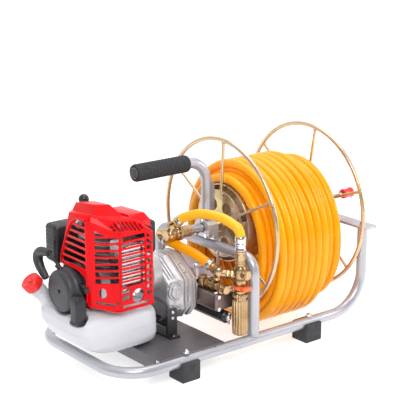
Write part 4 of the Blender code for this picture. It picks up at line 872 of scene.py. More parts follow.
def ribs(b):
    sweep(b, [P(-0.1458, -0.0800, z) for z in np.linspace(0.1260, 0.2560, 12)], 0.0018, 10)
    sweep(b, [P(-0.0960, -0.0801, z) for z in np.linspace(0.1600, 0.2470, 12)], 0.0011, 10)
    # turned-out rim along the lower edge
    sweep(b, [P(*q) for q in ((-0.1885, -0.0475, 0.1352), (-0.1845, -0.0535, 0.1336), (-0.1550, -0.0772, 0.1250), (-0.1470, -0.0802, 0.1244), (-0.0830, -0.0802, 0.1244), (-0.0795, -0.0770, 0.1244))], 0.0015, 10)
piece("cover_ribs", "red_gloss", "frame", ribs, angle=60)
def cover_screws(b):
    for p, d in ((P(-0.0865, -0.0803, 0.2300), (0, -1, 0)), (P(-0.1512, -0.0789, 0.1390), (-0.6, -0.78, 0))):
        d = Vector(d).normalized()
        lathe(b, [(0, 0.0012), (0.0018, 0.0012), (0.0024, 0.0004), (0.0024, -0.001), (0, -0.001)], p, d, 20)
piece("cover_screws", "paint_black", "frame", cover_screws)

# ------------------------------------------------------------------ engine inside
CX = -0.1180
def fins(b):
    prof = [(0, 0.0), (0.0200, 0.0)]
    for k in range(9):
        z = 0.0030 + 0.0072 * k
        prof += [(0.0200, z), (0.0320, z + 0.0002), (0.0330, z + 0.0008), (0.0330, z + 0.0014), (0.0320, z + 0.0020), (0.0200, z + 0.0024)]
    prof += [(0.0200, 0.0668), (0.0160, 0.0700), (0.0100, 0.0718), (0, 0.0720)]
    lathe(b, prof, P(CX, 0, 0.1790), (0, 0, 1), 48)
piece("cylinder_fins", "cast_alu", "frame", fins, "cylinder", angle=30)
keep("crankcase", "cast_alu", 0.0010, 2)
keep("muffler", "steel", 0.0010, 3)
def muffler_bits(b):
    for z in (0.1700, 0.1900, 0.2100):
        sweep(b, [P(x, -0.0731, z) for x in (-0.1370, -0.0950)], 0.0013, 8)
    for x, z in ((-0.1350, 0.2270), (-0.0970, 0.2270), (-0.1350, 0.1600)):
        hexrod(b, P(x, -0.0728, z), P(x, -0.0762, z), 0.0036)
piece("muffler_bits", "steel", "frame", muffler_bits)
keep("plug_cap", "black_plastic", 0.0004, 2)
keep("crankshaft", "steel", 0.0003, 1)
keep("flywheel", "cast_alu", 0.0003, 1)
OCT_Y = [(-0.0430, 0.0690), (0.0330, 0.0690), (0.0500, 0.0880), (0.0500, 0.1460), (0.0180, 0.1738), (-0.0110, 0.1738), (-0.0575, 0.1400), (-0.0575, 0.0875)]
OCT_OUT = [(-0.0425, 0.0700), (0.0325, 0.0700), (0.0490, 0.0885), (0.0490, 0.1455), (0.0176, 0.1728), (-0.0107, 0.1728), (-0.0565, 0.1395), (-0.0565, 0.0880)]
def grow(poly, g):
    cy = sum(p[0] for p in poly) / len(poly)
    cz = sum(p[1] for p in poly) / len(poly)
    return [(cy + (p[0] - cy) * (1 + g / 0.052), cz + (p[1] - cz) * (1 + g / 0.052)) for p in poly]
def loft(b, sections):
    # sections: (x, outline) with equal counts
    rows = [[b.verts.new(P(x, y, z)) for y, z in o] for x, o in sections]
    n = len(rows[0])
    for i in range(len(rows) - 1):
        for k in range(n):
            j = (k + 1) % n
            b.faces.new((rows[i][k], rows[i][j], rows[i + 1][j], rows[i + 1][k]))
    b.faces.new(rows[0][::-1])
    b.faces.new(rows[-1])
def housing(b):
    o = OCT_OUT
    loft(b, [(-0.0320, grow(o, -0.0060)), (-0.0308, grow(o, -0.0042)), (-0.0280, grow(o, -0.0026)), (-0.0090, grow(o, -0.0012)), (-0.0065, grow(o, -0.0006)), (-0.0050, grow(o, 0.0002)), (0.0010, grow(o, 0.0004)), (0.0021, grow(o, -0.0002))])
HB = P(-0.0150, -0.0545, 0.1215)
OX_ = P(0, 0, 0).x
piece("housing_cast", "cast_alu", "frame", housing, "fan_housing", angle=32, bevel=0.0016, bseg=3,
      cut=[lambda b: rod(b, P(-0.05, 0, CRANK_Z), P(0.01, 0, CRANK_Z), 0.0080, 32, phase=0.5)])
def housing_ring(b):
    lathe(b, [(0.0372, 0), (0.0388, 0.0), (0.0398, 0.0008), (0.0398, 0.0040), (0.0388, 0.0050), (0.0388, 0.0186), (0.0372, 0.0186)], P(-0.0500, 0, CRANK_Z), (1, 0, 0), 72, ring=True)
piece("housing_ring", "cast_alu", "frame", housing_ring, angle=32)
def housing_boss(b):
    # bearing boss on the near side, with stepped rings
    d = Vector((0, -1, 0))
    lathe(b, [(0, -0.004), (0.0165, -0.004), (0.0160, 0.0005), (0.0150, 0.0016), (0.0128, 0.0018), (0.0122, 0.0030), (0.0120, 0.0042), (0.0110, 0.0050), (0.0078, 0.0050), (0.0074, 0.0040), (0.0040, 0.0040), (0.0036, 0.0052), (0, 0.0054)], HB, d, 48)
    for k in range(6):
        a = math.radians(60 * k + 20)
        e = Vector((math.cos(a), 0, math.sin(a)))
        p0, p1 = HB + e * 0.0150 + d * 0.0002, HB + e * 0.0300 + d * -0.0006
        if p1.z < 0.141 and p1.z > 0.089 and -0.0310 + OX_ < p1.x < -0.0045 + OX_:
            sweep(b, [p0, p1], [0.0016, 0.0011], 10)
piece("housing_boss", "cast_alu", "frame", housing_boss, angle=35, fix=False)
def housing_ribs(b):
    for x in (-0.0250, -0.0190, -0.0130):
        sweep(b, [P(x, y, z) for y, z in ((-0.0490, 0.1440), (-0.0108, 0.1716), (0.0160, 0.1716))], 0.0010, 8)
    for z in (0.0960, 0.1400):
        sweep(b, [P(-0.0285, -0.0548, z), P(-0.0085, -0.0560, z)], 0.0011, 8)
piece("housing_ribs", "cast_alu", "frame", housing_ribs, angle=50, fix=False)
def housing_bosses(b):
    for x, z in ((-0.0262, 0.1330), (-0.0262, 0.0940), (-0.0090, 0.1370), (-0.0090, 0.0940)):
        c = P(x, -0.0540, z)
        lathe(b, [(0, -0.002), (0.0044, -0.002), (0.0042, 0.0026), (0, 0.0026)], c, (0, -1, 0), 20)
        lathe(b, [(0, 0.0050), (0.0016, 0.0050), (0.0016, 0.0036), (0.0020, 0.0036), (0.0020, 0.0050), (0.0028, 0.0048), (0.0030, 0.0042), (0.0030, 0.0020), (0, 0.0020)], c, (0, -1, 0), 20)
piece("housing_bosses", "cast_alu", "frame", housing_bosses, fix=False)
def duct(b):
    block(b, P(-0.0740, -0.0560, 0.2000), P(-0.0560, 0.0260, 0.2560), 0.0060, 4)
piece("fan_cover", "black_plastic", "frame", duct)

# ------------------------------------------------------------------ recoil starter
def starter(b):
    prof = [(0, 0.0008), (0.0040, 0.0004), (0.0290, 0.0000), (0.0318, 0.0006), (0.0338, 0.0020), (0.0350, 0.0042), (0.0355, 0.0070), (0.0355, 0.0118), (0.0366, 0.0132), (0.0378, 0.0150), (0.0380, 0.0165), (0.0380, 0.0230), (0.0345, 0.0330), (0.0300, 0.0635),
            (0.0280, 0.0635), (0.0325, 0.0325), (0.0360, 0.0225), (0.0360, 0.0160), (0.0335, 0.0130), (0.0335, 0.0060), (0.0280, 0.0025), (0, 0.0028)]
    lathe(b, prof, P(-0.2140, 0, CRANK_Z), (1, 0, 0), 80)
piece("starter_disc", "grey_plastic", "frame", starter, "starter_cover", angle=32)
def leg(b):
    # square-section leg on a small flared foot
    rows = []
    for z, h in ((0.1080, 0.0100), (0.1086, 0.0112), (0.1098, 0.0118), (0.1108, 0.0112), (0.1118, 0.0103), (0.1290, 0.0100), (0.1400, 0.0102), (0.1450, 0.0100), (0.1500, 0.0088), (0.1535, 0.0066), (0.1550, 0.0040)):
        row = []
        for k in range(40):
            t = 2 * math.pi * (k + 0.5) / 40
            c, q = math.cos(t), math.sin(t)
            e = 2 / 6.0
            row.append(b.verts.new(P(-0.2055 + h * math.copysign(abs(c) ** e, c), -0.0450 + h * math.copysign(abs(q) ** e, q), z)))
        rows.append(row)
    for i in range(len(rows) - 1):
        for k in range(40):
            j = (k + 1) % 40
            b.faces.new((rows[i][k], rows[i][j], rows[i + 1][j], rows[i + 1][k]))
    b.faces.new(rows[0][::-1])
    b.faces.new(rows[-1])
piece("starter_post", "black_plastic", "frame", leg, angle=40,
      union=[lambda b: block(b, P(-0.2085, -0.0420, 0.1290), P(-0.1965, -0.0300, 0.1500), 0.0022, 3)])
def starter_bits(b):
    c = P(-0.2140, 0, CRANK_Z)
    lathe(b, [(0, -0.0024), (0.0024, -0.0022), (0.0034, -0.0012), (0.0034, 0.0010), (0, 0.0010)], c, (1, 0, 0), 24)
    lathe(b, [(0.0290, -0.0001), (0.0294, -0.0005), (0.0300, -0.0001)], c, (1, 0, 0), 64, ring=True)
piece("starter_screw", "paint_black", "frame", starter_bits)
def starter_body(b):
    # fixing ring behind the disc, with the cooling fins round it
    lathe(b, [(0.0300, 0), (0.0405, 0), (0.0415, 0.0012), (0.0415, 0.0120), (0.0400, 0.0135), (0.0300, 0.0135)], P(-0.1870, 0, CRANK_Z), (1, 0, 0), 64, ring=True)
    for k in range(26):
        a = math.radians(-20 + 225 * k / 25)
        d = Vector((0, math.cos(a), math.sin(a)))
        e = Vector((0, -math.sin(a), math.cos(a)))
        prism(b, [(0.0335, -0.0008), (0.0384, -0.0008), (0.0384, 0.0008), (0.0335, 0.0008)], P(-0.1935, 0, CRANK_Z), d, e, 0.0085)
piece("starter_ring", "black_plastic", "frame", starter_body, fix=False)
def clip(b):
    block(b, P(-0.1950, -0.0500, 0.1560), P(-0.1870, -0.0380, 0.1660), 0.0016, 3)
    block(b, P(-0.1965, -0.0470, 0.1650), P(-0.1905, -0.0300, 0.1700), 0.0014, 3)
piece("starter_clip", "black_plastic", "frame", clip, fix=False)
keep("starter_pulley", "black_plastic", 0.0003, 1)
PULL = Vector((-0.10, 0.80, 0.60)).normalized()
GRIP = catmull([P(-0.2044, 0.0400, 0.2045), P(-0.2046, 0.0540, 0.2035), P(-0.2049, 0.0672, 0.2005), P(-0.2052, 0.0740, 0.1925), P(-0.2054, 0.0738, 0.1830), P(-0.2053, 0.0655, 0.1710), P(-0.2050, 0.0505, 0.1590)], 7)
def dhandle(b):
    n = len(GRIP)
    sweep(b, GRIP, [0.0056 + 0.0030 * math.sin(math.pi * i / (n - 1)) ** 0.7 for i in range(n)], 28)
piece("pull_grip", "grey_plastic", "pull_handle", dhandle, "starter_handle", angle=60)
def grip_ribs(b):
    n = len(GRIP)
    for k in range(int(n * 0.42), int(n * 0.86), 2):
        r = 0.0056 + 0.0030 * math.sin(math.pi * k / (n - 1)) ** 0.7
        lathe(b, [(r - 0.0008, -0.0008), (r + 0.0003, -0.0004), (r + 0.0003, 0.0004), (r - 0.0008, 0.0008)], GRIP[k], (GRIP[k + 1] - GRIP[k - 1]).normalized(), 28, ring=True)
piece("pull_grip_ribs", "grey_plastic", "pull_handle", grip_ribs, angle=60, fix=False)
ROPE_A, ROPE_B = P(-0.2033, 0.0172, 0.1894), P(-0.2044, 0.0400, 0.2045)
def guide(b):
    d = (P(-0.2034, 0.0180, 0.1900) - P(-0.2020, 0.0060, 0.1810)).normalized()
    L = (P(-0.2034, 0.0180, 0.1900) - P(-0.2020, 0.0060, 0.1810)).length
    lathe(b, [(0, -0.001), (0.0050, -0.001), (0.0046, 0.004), (0.0044, L - 0.003), (0.0050, L - 0.0015), (0.0050, L - 0.0005), (0.0040, L), (0, L)], P(-0.2020, 0.0060, 0.1810), d, 28)
piece("rope_guide", "black_plastic", "frame", guide, angle=60)
def rope():
    b = bmesh.new()
    n = 60
    pts = [ROPE_A.lerp(ROPE_B, k / n) for k in range(-3, n + 3)]
    sweep(b, pts, 0.0017, 12)
    bmesh.ops.recalc_face_normals(b, faces=b.faces)
    me = bpy.data.meshes.new("pull_cord")
    b.to_mesh(me)
    b.free()
    ob = bpy.data.objects.new("pull_cord", me)
    sc.collection.objects.link(ob)
    ob.data.materials.append(material("black_plastic"))
    shade(ob, 60)
    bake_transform(ob)
rope()

# ------------------------------------------------------------------ carburettor side
keep("carburettor", "cast_alu", 0.0008, 2)
def baffle(b):
    # cooling baffle between the cylinder and the carburettor
    prism(b, [(-0.1800, 0.1620), (-0.0920, 0.1620), (-0.0920, 0.2080), (-0.0980, 0.2160), (-0.1700, 0.2160), (-0.1800, 0.2040)], P(0, 0.0368, 0), *XZ, 0.0018)
    for k in range(6):
        x = -0.1720 + 0.0150 * k
        block(b, P(x, 0.0333, 0.1640), P(x + 0.0016, 0.0352, 0.2060), 0.0004, 1)
piece("cooling_baffle", "black_plastic", "frame", baffle, angle=40, fix=False)
lo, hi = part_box("air_cleaner")
def aircleaner(b):
    block(b, (lo.x, lo.y, lo.z), (hi.x, hi.y, hi.z), 0.0080, 5)
piece("air_box", "black_plastic", "frame", aircleaner, "air_cleaner", angle=40)
def air_ribs(b):
    n = 9
    for k in range(n):
        z = lo.z + (hi.z - lo.z) * (k + 1.0) / (n + 1)
        sweep(b, [Vector((lo.x + 0.0003, lo.y + 0.006, z)), Vector((lo.x + 0.0003, hi.y - 0.006, z))], 0.0011, 8)
        sweep(b, [Vector((lo.x + 0.008, hi.y - 0.0003, z)), Vector((hi.x - 0.008, hi.y - 0.0003, z))], 0.0011, 8)
    c = Vector(((lo.x + hi.x) / 2, hi.y, (lo.z + hi.z) / 2))
    lathe(b, [(0, 0.0075), (0.0060, 0.0070), (0.0078, 0.0055), (0.0082, 0.0010), (0.0082, -0.001), (0, -0.001)], c, (0, 1, 0), 24)
piece("air_box_ribs", "black_plastic", "frame", air_ribs, angle=50)
keep("throttle_lever", "steel", 0.0002, 1, 50)
lo2, hi2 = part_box("throttle_ball")
BC = (lo2 + hi2) / 2
def ball(b):
    prof = [(0, -0.0090), (0.0030, -0.0089)] + [(0.0088 * math.sin(math.radians(a)), -0.0088 * math.cos(math.radians(a))) for a in range(24, 178, 11)] + [(0, 0.0088)]
    lathe(b, prof, BC, (0, 0, 1), 36)
piece("ball_knob", "black_plastic", "throttle", ball, "throttle_ball", angle=50)

# ------------------------------------------------------------------ reduction gear and bracket
def flange(b):
    o = OCT_Y
    loft(b, [(0.0025, grow(o, -0.0004)), (0.0032, grow(o, 0.0003)), (0.0062, grow(o, 0.0003)), (0.0068, grow(o, -0.0022)), (0.0148, grow(o, -0.0022)), (0.0154, grow(o, 0.0003)), (0.0188, grow(o, 0.0003)), (0.0194, grow(o, -0.0004))])
piece("gear_case_cast", "cast_alu", "frame", flange, "gear_case", angle=32, bevel=0.0009, bseg=2,
      cut=[lambda b: prism(b, [(0.0160 * math.cos(math.radians(a)), CRANK_Z + 0.0160 * math.sin(math.radians(a))) for a in range(-20, 201, 20)] + [(0.0350 * math.cos(math.radians(a)), 0.1080 + 0.0350 * math.sin(math.radians(a))) for a in range(150, 391, 12)], P(0.0060, 0, 0), *YZ, 0.0200),
           lambda b: rod(b, P(-0.01, 0, CRANK_Z), P(0.02, 0, CRANK_Z), 0.0066, 32, phase=0.5)])
def flange2(b):
    o = OCT_Y
    loft(b, [(0.0198, grow(o, -0.0004)), (0.0204, grow(o, 0.0003)), (0.0240, grow(o, 0.0003)), (0.0262, grow(o, -0.0010)), (0.0288, grow(o, -0.0050))])
# gear cover aluminium carries a painted red reflection
piece("gear_cover_cast", "alu_painted_red_reflection", "frame", flange2, "gear_cover", angle=32, bevel=0.0009, bseg=2,
      cut=[lambda b: rod(b, P(0.01, 0, 0.1080), P(0.05, 0, 0.1080), 0.0066, 32, phase=0.5)])
def flange_ribs(b):
    for y, z, dy, dz in ((-0.0552, 0.0960, 0, 0), (-0.0552, 0.1120, 0, 0), (-0.0552, 0.1280, 0, 0), (-0.0440, 0.1488, 0, 0), (-0.0280, 0.1603, 0, 0), (0.0010, 0.1718, 0, 0), (-0.0350, 0.0706, 0, 0), (0.0480, 0.1000, 0, 0), (0.0480, 0.1300, 0, 0), (0.0300, 0.1620, 0, 0)):
        block(b, P(0.0064, y - 0.0013, z - 0.0013), P(0.0152, y + 0.0013, z + 0.0013), 0.0004, 1)
piece("flange_ribs", "cast_alu", "frame", flange_ribs, angle=40, fix=False)
def case_screws(b):
    # socket screws through the flange, seen on both its faces
    for y, z in ((-0.0530, 0.0935), (-0.0530, 0.1360), (-0.0330, 0.1530), (-0.0080, 0.1685), (0.0160, 0.1685), (0.0350, 0.1545), (0.0455, 0.1400), (0.0455, 0.0930), (0.0300, 0.0735), (-0.0390, 0.0735)):
        for x, d in ((0.0262, 1), (0.0027, -1)):
            if d < 0 and not (y < -0.05):
                continue
            lathe(b, [(0, 0.0040), (0.0018, 0.0040), (0.0018, 0.0020), (0.0022, 0.0020), (0.0022, 0.0040), (0.0032, 0.0038), (0.0035, 0.0032), (0.0035, -0.0006), (0, -0.0006)], P(x, y, z), (d, 0, 0), 24)
piece("case_screws", "chrome", "frame", case_screws, fix=False)
keep("pinion", "steel", 0.0, 1)
keep("pump_gear", "steel", 0.0, 1)
keep("gearbox_bracket", "paint_black", 0.0006, 2)
def bracket_bolts(b):
    for y in (-0.0675, 0.0410):
        x = -0.0305
        lathe(b, [(0, 0), (0.0036, 0), (0.0036, 0.0006), (0, 0.0006)], P(x, y, 0.0489), (0, 0, 1), 20)
        hexrod(b, P(x, y, 0.0494), P(x, y, 0.0520), 0.0030)
    for z in (0.0800, 0.0905):
        lathe(b, [(0, 0.0026), (0.0024, 0.0024), (0.0032, 0.0014), (0.0034, 0), (0, 0)], P(-0.0305, -0.0631, z), (0, -1, 0), 20)
piece("bracket_bolts", "steel", "frame", bracket_bolts)

# ------------------------------------------------------------------ pump
# pump crankcase aluminium carries a painted red reflection
keep("pump_crankcase", "alu_painted_red_reflection", 0.0012, 3)
# plunger block aluminium carries painted shade and a painted red reflection
keep("plunger_block", "alu_painted_shade", 0.0010, 2)
keep("pump_shaft", "steel", 0.0003, 1)
keep("plunger_1", "chrome", 0.0003, 1)
keep("plunger_2", "chrome", 0.0003, 1)
def pump_bits(b):
    for x, z in ((0.0345, 0.0935), (0.0705, 0.0935), (0.0345, 0.1150), (0.0705, 0.1150)):
        lathe(b, [(0, 0.0038), (0.0018, 0.0038), (0.0018, 0.0014), (0.0022, 0.0014), (0.0022, 0.0038), (0.0034, 0.0036), (0.0037, 0.0030), (0.0037, -0.0006), (0, -0.0006)], P(x, -0.1060, z), (0, -1, 0), 24)
    for x, y in ((0.0360, -0.0440), (0.0690, -0.0440), (0.0360, 0.0220), (0.0690, 0.0220)):
        hexrod(b, P(x, y, 0.1558), P(x, y, 0.1596), 0.0042)
    for x in (0.0360, 0.0690):
        hexrod(b, P(x, -0.0980, 0.1188), P(x, -0.0980, 0.1222), 0.0038)
piece("pump_screws", "chrome", "frame", pump_bits)
def suction(b):
    prof = [(0, 0), (0.0095, 0), (0.0106, 0.0012), (0.0106, 0.0868), (0.0095, 0.0880), (0, 0.0880)]
    lathe(b, prof, P(0.0520, -0.0200, 0.0750), (0, -1, 0), 40)
piece("suction_tube", "paint_black", "frame", suction, "suction_rail",
      union=[lambda b: block(b, P(0.0480, -0.0800, 0.0800), P(0.0560, -0.0600, 0.0887), 0.0005)])
def wing(b):
    c = P(0.0520, -0.1080, 0.0750)
    lathe(b, [(0, -0.0004), (0.0055, -0.0004), (0.0060, 0.0006), (0.0050, 0.0060), (0.0030, 0.0080), (0, 0.0082)], c, (0, -1, 0), 24)
    for s in (-1, 1):
        sweep(b, catmull([c + Vector((0, -0.0030, s * 0.003)), c + Vector((0, -0.0050, s * 0.0075)), c + Vector((0, -0.0060, s * 0.0110))], 5), [0.0022] * 10 + [0.0016], 12)
piece("wing_nut", "steel", "frame", wing, angle=50)

# ------------------------------------------------------------------ brass work
def manifold(b):
    y = lambda v: P(0.0420, v, 0.1290)
    rod(b, y(-0.0560), y(-0.1180), 0.0070, 32, 0.0006)
    hexrod(b, y(-0.0525), y(-0.0645), 0.0120)
    lathe(b, [(0, 0), (0.0108, 0), (0.0108, 0.0012), (0.0090, 0.0022), (0, 0.0022)], y(-0.0645), (0, -1, 0), 32)
    hexrod(b, y(-0.0700), y(-0.0780), 0.0098)
    hexrod(b, y(-0.0840), y(-0.0930), 0.0104)
    lathe(b, [(0, 0), (0.0086, 0), (0.0086, 0.0014), (0, 0.0014)], y(-0.0945), (0, -1, 0), 32)
    hexrod(b, y(-0.0990), y(-0.1090), 0.0104)
    hexrod(b, y(-0.1130), y(-0.1195), 0.0078)
    rod(b, P(0.0420, -0.1130, 0.1290), P(0.0574, -0.1174, 0.1300), 0.0055, 28, 0.0004)
    hexrod(b, P(0.0500, -0.1153, 0.1295), P(0.0550, -0.1167, 0.1299), 0.0066)
piece("manifold_brass", "brass", "frame", manifold, "brass_manifold")
RX, RY = 0.0700, -0.1210
H1 = [P(0.0205, -0.0075, 0.2260), P(0.0300, -0.0210, 0.2365), P(0.0440, -0.0480, 0.2460), P(0.0580, -0.0840, 0.2450), P(0.0672, -0.1115, 0.2345), P(0.0692, -0.1180, 0.2275), P(0.0700, -0.1210, 0.2180)]
H2 = [P(0.0185, 0.0215, 0.1890), P(0.0255, -0.0050, 0.1834), P(0.0345, -0.0480, 0.1740), P(0.0420, -0.0780, 0.1610)]
def regulator(b):
    c = P(RX, RY, 0)
    lathe(b, [(0, 0.1190), (0.0092, 0.1190), (0.0100, 0.1196), (0.0100, 0.1236), (0.0092, 0.1244), (0.0082, 0.1250), (0.0082, 0.1340), (0.0096, 0.1346), (0.0106, 0.1356), (0.0110, 0.1390), (0.0110, 0.1440), (0.0104, 0.1450), (0.0104, 0.1460), (0.0112, 0.1470), (0.0112, 0.1600), (0.0104, 0.1630), (0.0088, 0.1660), (0.0080, 0.1680),
              (0.0080, 0.1700), (0.0086, 0.1704), (0.0086, 0.1716), (0.0079, 0.1722), (0.0086, 0.1728), (0.0086, 0.1740), (0.0079, 0.1746), (0.0086, 0.1752), (0.0086, 0.1764), (0.0079, 0.1770), (0.0079, 0.1800), (0, 0.1800)], c, (0, 0, 1), 48)
    hexrod(b, c + Vector((0, 0, 0.1795)), c + Vector((0, 0, 0.1900)), 0.0104)
    lathe(b, [(0, 0.1895), (0.0092, 0.1895), (0.0092, 0.1925), (0.0084, 0.1935), (0, 0.1940)], c, (0, 0, 1), 36)
    d = Vector((0.0010, -0.0190, 0)).normalized()
    q = P(RX, RY, 0.1540)
    rod(b, q, q + d * 0.0150, 0.0082, 32, 0.0006)
    hexrod(b, q + d * 0.0125, q + d * 0.0188, 0.0088)
    lathe(b, [(0, 0.0188), (0.0060, 0.0188), (0.0056, 0.0200), (0, 0.0204)], q, d, 28)
    e = Vector((-0.0230, 0.0270, 0.0020)).normalized()
    rod(b, P(RX, RY, 0.1500), P(RX - 0.0230, RY + 0.0270, 0.1520), 0.0070, 28)
    hexrod(b, P(RX, RY, 0.1500) + e * 0.0120, P(RX, RY, 0.1500) + e * 0.0170, 0.0094)
    hexrod(b, P(RX, RY, 0.1500) + e * 0.0190, P(RX, RY, 0.1500) + e * 0.0240, 0.0090)
    T = H2[-1] + (H2[-1] - H2[-2]).normalized() * 0.0006
    f = (P(0.0460, -0.0930, 0.1530) - T).normalized()
    rod(b, T, P(0.0460, -0.0930, 0.1530), 0.0066, 28)
    hexrod(b, T + f * 0.0045, T + f * 0.0100, 0.0088)
    rod(b, P(0.0450, -0.0900, 0.1550), P(0.0450, -0.0900, 0.1392), 0.0056, 28)
    hexrod(b, P(0.0450, -0.0900, 0.1400), P(0.0450, -0.0900, 0.1450), 0.0074)
    lathe(b, [(0, -0.0092), (0.0064, -0.0088), (0.0086, -0.0060), (0.0090, 0), (0.0086, 0.0060), (0.0064, 0.0088), (0, 0.0092)], P(0.0458, -0.0925, 0.1535), (0, 0, 1), 32)
piece("regulator_brass", "brass", "frame", regulator, "regulator_body")
def ferrules(b):
    c = P(RX, RY, 0)
    lathe(b, [(0.0060, 0.1942), (0.0086, 0.1942), (0.0098, 0.1952), (0.0098, 0.1975), (0.0090, 0.1985), (0.0090, 0.2030), (0.0096, 0.2040), (0.0096, 0.2070), (0.0090, 0.2080), (0.0096, 0.2095), (0.0098, 0.2180), (0.0092, 0.2190), (0.0060, 0.2190)], c, (0, 0, 1), 40, ring=True)
piece("hose_ferrule", "chrome", "frame", ferrules, angle=40)
def knurl(b):
    n = 96
    rows = []
    for z, f, r in ((0.0452, 0, 0.0106), (0.0458, 0, 0.0120), (0.0470, 1, 0.0132), (0.0490, 1, 0.0137), (0.1060, 1, 0.0137), (0.1085, 1, 0.0133), (0.1092, 0, 0.0118), (0.1108, 0, 0.0114), (0.1118, 0, 0.0118), (0.1126, 1, 0.0132), (0.1140, 1, 0.0136), (0.1160, 1, 0.0136), (0.1175, 1, 0.0130), (0.1185, 0, 0.0112)):
        row = []
        for k in range(n):
            t = 2 * math.pi * k / n
            g = [0, 0.0002, 0.0014, 0.0014, 0.0002, 0][k % 6] * f
            row.append(b.verts.new(P(RX, RY, z) + Vector(((r - g) * math.cos(t), (r - g) * math.sin(t), 0))))
        rows.append(row)
    for i in range(len(rows) - 1):
        for k in range(n):
            j = (k + 1) % n
            b.faces.new((rows[i][k], rows[i][j], rows[i + 1][j], rows[i + 1][k]))
    b.faces.new(rows[0][::-1])
    b.faces.new(rows[-1])
piece("knurled_knob", "brass", "pressure_knob", knurl, "regulator_knob", angle=50)
def lever(b):
    lathe(b, [(0.0086, 0), (0.0118, 0), (0.0125, 0.0008), (0.0125, 0.0052), (0.0118, 0.0060), (0.0086, 0.0060)], P(RX, RY, 0.1268), (0, 0, 1), 48, ring=True)
piece("lever_orange", "orange", "lever", lever, "relief_lever", angle=40,
      union=[lambda b: block(b, P(RX - 0.0105, RY - 0.0220, 0.1265), P(RX + 0.0065, RY - 0.0112, 0.1335), 0.0020, 3)])

# ------------------------------------------------------------------ swivel and short hoses
N1 = (H1[0] - H1[1]).normalized()
N2 = (H2[0] - H2[1]).normalized()
bend = catmull([P(0.0100, 0.0, AXLE_Z), P(0.0118, 0.0210, 0.2045), P(0.0138, 0.0320, 0.1995), H2[0] + N2 * 0.0090, H2[0] + N2 * 0.0006], 8)
def swivel(b):
    a = lambda x: P(x, 0, AXLE_Z)
    lathe(b, [(0, 0.0040), (0.0088, 0.0040), (0.0098, 0.0050), (0.0098, 0.0080), (0.0088, 0.0088), (0.0092, 0.0096), (0.0100, 0.0120), (0.0104, 0.0170), (0.0098, 0.0215), (0.0090, 0.0230), (0.0090, 0.0250), (0.0100, 0.0258), (0.0105, 0.0268), (0.0105, 0.0298),
              (0.0090, 0.0302), (0.0090, 0.0362), (0.0105, 0.0368), (0.0105, 0.0440), (0.0098, 0.0446), (0.0098, 0.0460), (0.0105, 0.0466), (0.0105, 0.0560), (0.0084, 0.0560), (0.0084, 0.0458), (0, 0.0456)], P(0, 0, AXLE_Z), (1, 0, 0), 48)
    hexrod(b, a(0.0300), a(0.0360), 0.0144)
    sweep(b, [P(0.0125, 0.0, AXLE_Z), H1[0] + N1 * 0.0080, H1[0] + N1 * 0.0006], 0.0062, 28)
    q = H1[0] + N1 * 0.0080
    w = (P(0.0125, 0, AXLE_Z) - q).normalized()
    hexrod(b, q + w * 0.0060, q + w * 0.0005, 0.0088)
    sweep(b, bend, 0.0056, 24)
    hexrod(b, H2[0] + N2 * 0.0085, H2[0] + N2 * 0.0035, 0.0078)
piece("swivel_brass", "brass", "frame", swivel, "swivel_elbow", angle=35)
piece("feed_hose_fine", "hose_short", "frame", lambda b: sweep(b, catmull(H1, 10), 0.0085, 32), "feed_hose", angle=60)
piece("bypass_hose_fine", "hose", "frame", lambda b: sweep(b, catmull(H2, 12), 0.0085, 32), "bypass_hose", angle=60)
def clamps(b):
    for c, d in ((H1[0] + (H1[1] - H1[0]) * 0.35, H1[1] - H1[0]), (H2[-1] + (H2[-2] - H2[-1]) * 0.12, H2[-2] - H2[-1]), (H2[0] + (H2[1] - H2[0]) * 0.15, H2[1] - H2[0])):
        d = d.normalized()
        lathe(b, [(0.0084, -0.0040), (0.0092, -0.0040), (0.0096, -0.0034), (0.0096, -0.0010), (0.0092, -0.0006), (0.0096, -0.0002), (0.0096, 0.0030), (0.0092, 0.0038), (0.0084, 0.0040)], c, d, 40, ring=True)
piece("hose_clamps", "steel", "frame", clamps)
# black fuel line beside the tank
def lines(b):
    sweep(b, catmull([P(-0.0840, -0.0600, 0.1400), P(-0.0700, -0.0760, 0.1270), P(-0.0560, -0.0800, 0.1150), P(-0.0520, -0.0760, 0.0960), P(-0.0530, -0.0600, 0.0800)], 8), 0.0022, 12)
piece("fuel_line", "paint_black", "frame", lines, angle=60)

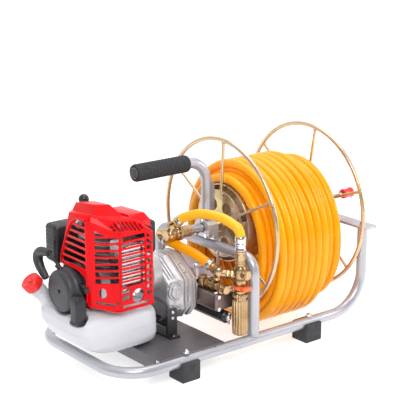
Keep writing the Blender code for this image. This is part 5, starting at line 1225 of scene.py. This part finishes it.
# ------------------------------------------------------------------ stage, light, camera
def floor():
    b = bmesh.new()
    s = 6.0
    vs = [b.verts.new((x, y, 0.0)) for x, y in ((-s, -s), (s, -s), (s, s), (-s, s))]
    b.faces.new(vs)
    me = bpy.data.meshes.new("floor")
    b.to_mesh(me)
    b.free()
    o = bpy.data.objects.new("floor", me)
    sc.collection.objects.link(o)
    o.data.materials.append(material("floor"))
floor()
# bright sweep behind and above, dimmer room in front: fixed directions in the scene
world = bpy.data.worlds.new("studio")
world.use_nodes = True
wt = world.node_tree
bg = wt.nodes["Background"]
bg.inputs[0].default_value = (1, 1, 1, 1)
tc = wt.nodes.new("ShaderNodeTexCoord")
dp = wt.nodes.new("ShaderNodeVectorMath")
dp.operation = "DOT_PRODUCT"
dp.inputs[1].default_value = (0.58, 0.72, 0.38)
mr = wt.nodes.new("ShaderNodeMapRange")
mr.interpolation_type = "SMOOTHSTEP"
mr.inputs["From Min"].default_value = -0.55
mr.inputs["From Max"].default_value = 0.55
mr.inputs["To Min"].default_value = 0.34
mr.inputs["To Max"].default_value = 1.08
wt.links.new(tc.outputs["Generated"], dp.inputs[0])
wt.links.new(dp.outputs["Value"], mr.inputs["Value"])
wt.links.new(mr.outputs["Result"], bg.inputs[1])
sc.world = world
def area(name, loc, target, size, energy, color=(1, 1, 1), size_y=None):
    l = bpy.data.lights.new(name, "AREA")
    l.energy = energy
    l.size = size
    if size_y:
        l.shape = "RECTANGLE"
        l.size_y = size_y
    l.color = color
    o = bpy.data.objects.new(name, l)
    sc.collection.objects.link(o)
    o.location = loc
    o.rotation_euler = (Vector(target) - Vector(loc)).to_track_quat("-Z", "Y").to_euler()
area("key", (-0.9, -1.4, 1.6), (0, 0, 0.15), 0.9, 26)
area("top", (0.2, 0.1, 1.7), (0, 0, 0.1), 1.2, 12)
area("side", (1.5, -0.9, 0.7), (0, 0, 0.15), 0.7, 7)
az, el = math.radians(-38.7289), math.radians(15.5595)
back = Vector((math.sin(az) * math.cos(el), -math.cos(az) * math.cos(el), math.sin(el)))
cam = bpy.data.cameras.new("camera")
cam.lens = 109.73
cam.sensor_width = 36
co = bpy.data.objects.new("camera", cam)
sc.collection.objects.link(co)
co.location = P(0.08, 0, 0.2539) + back * 2.1230
co.rotation_euler = back.to_track_quat("Z", "Y").to_euler()
sc.camera = co
sc.view_settings.view_transform = "Standard"
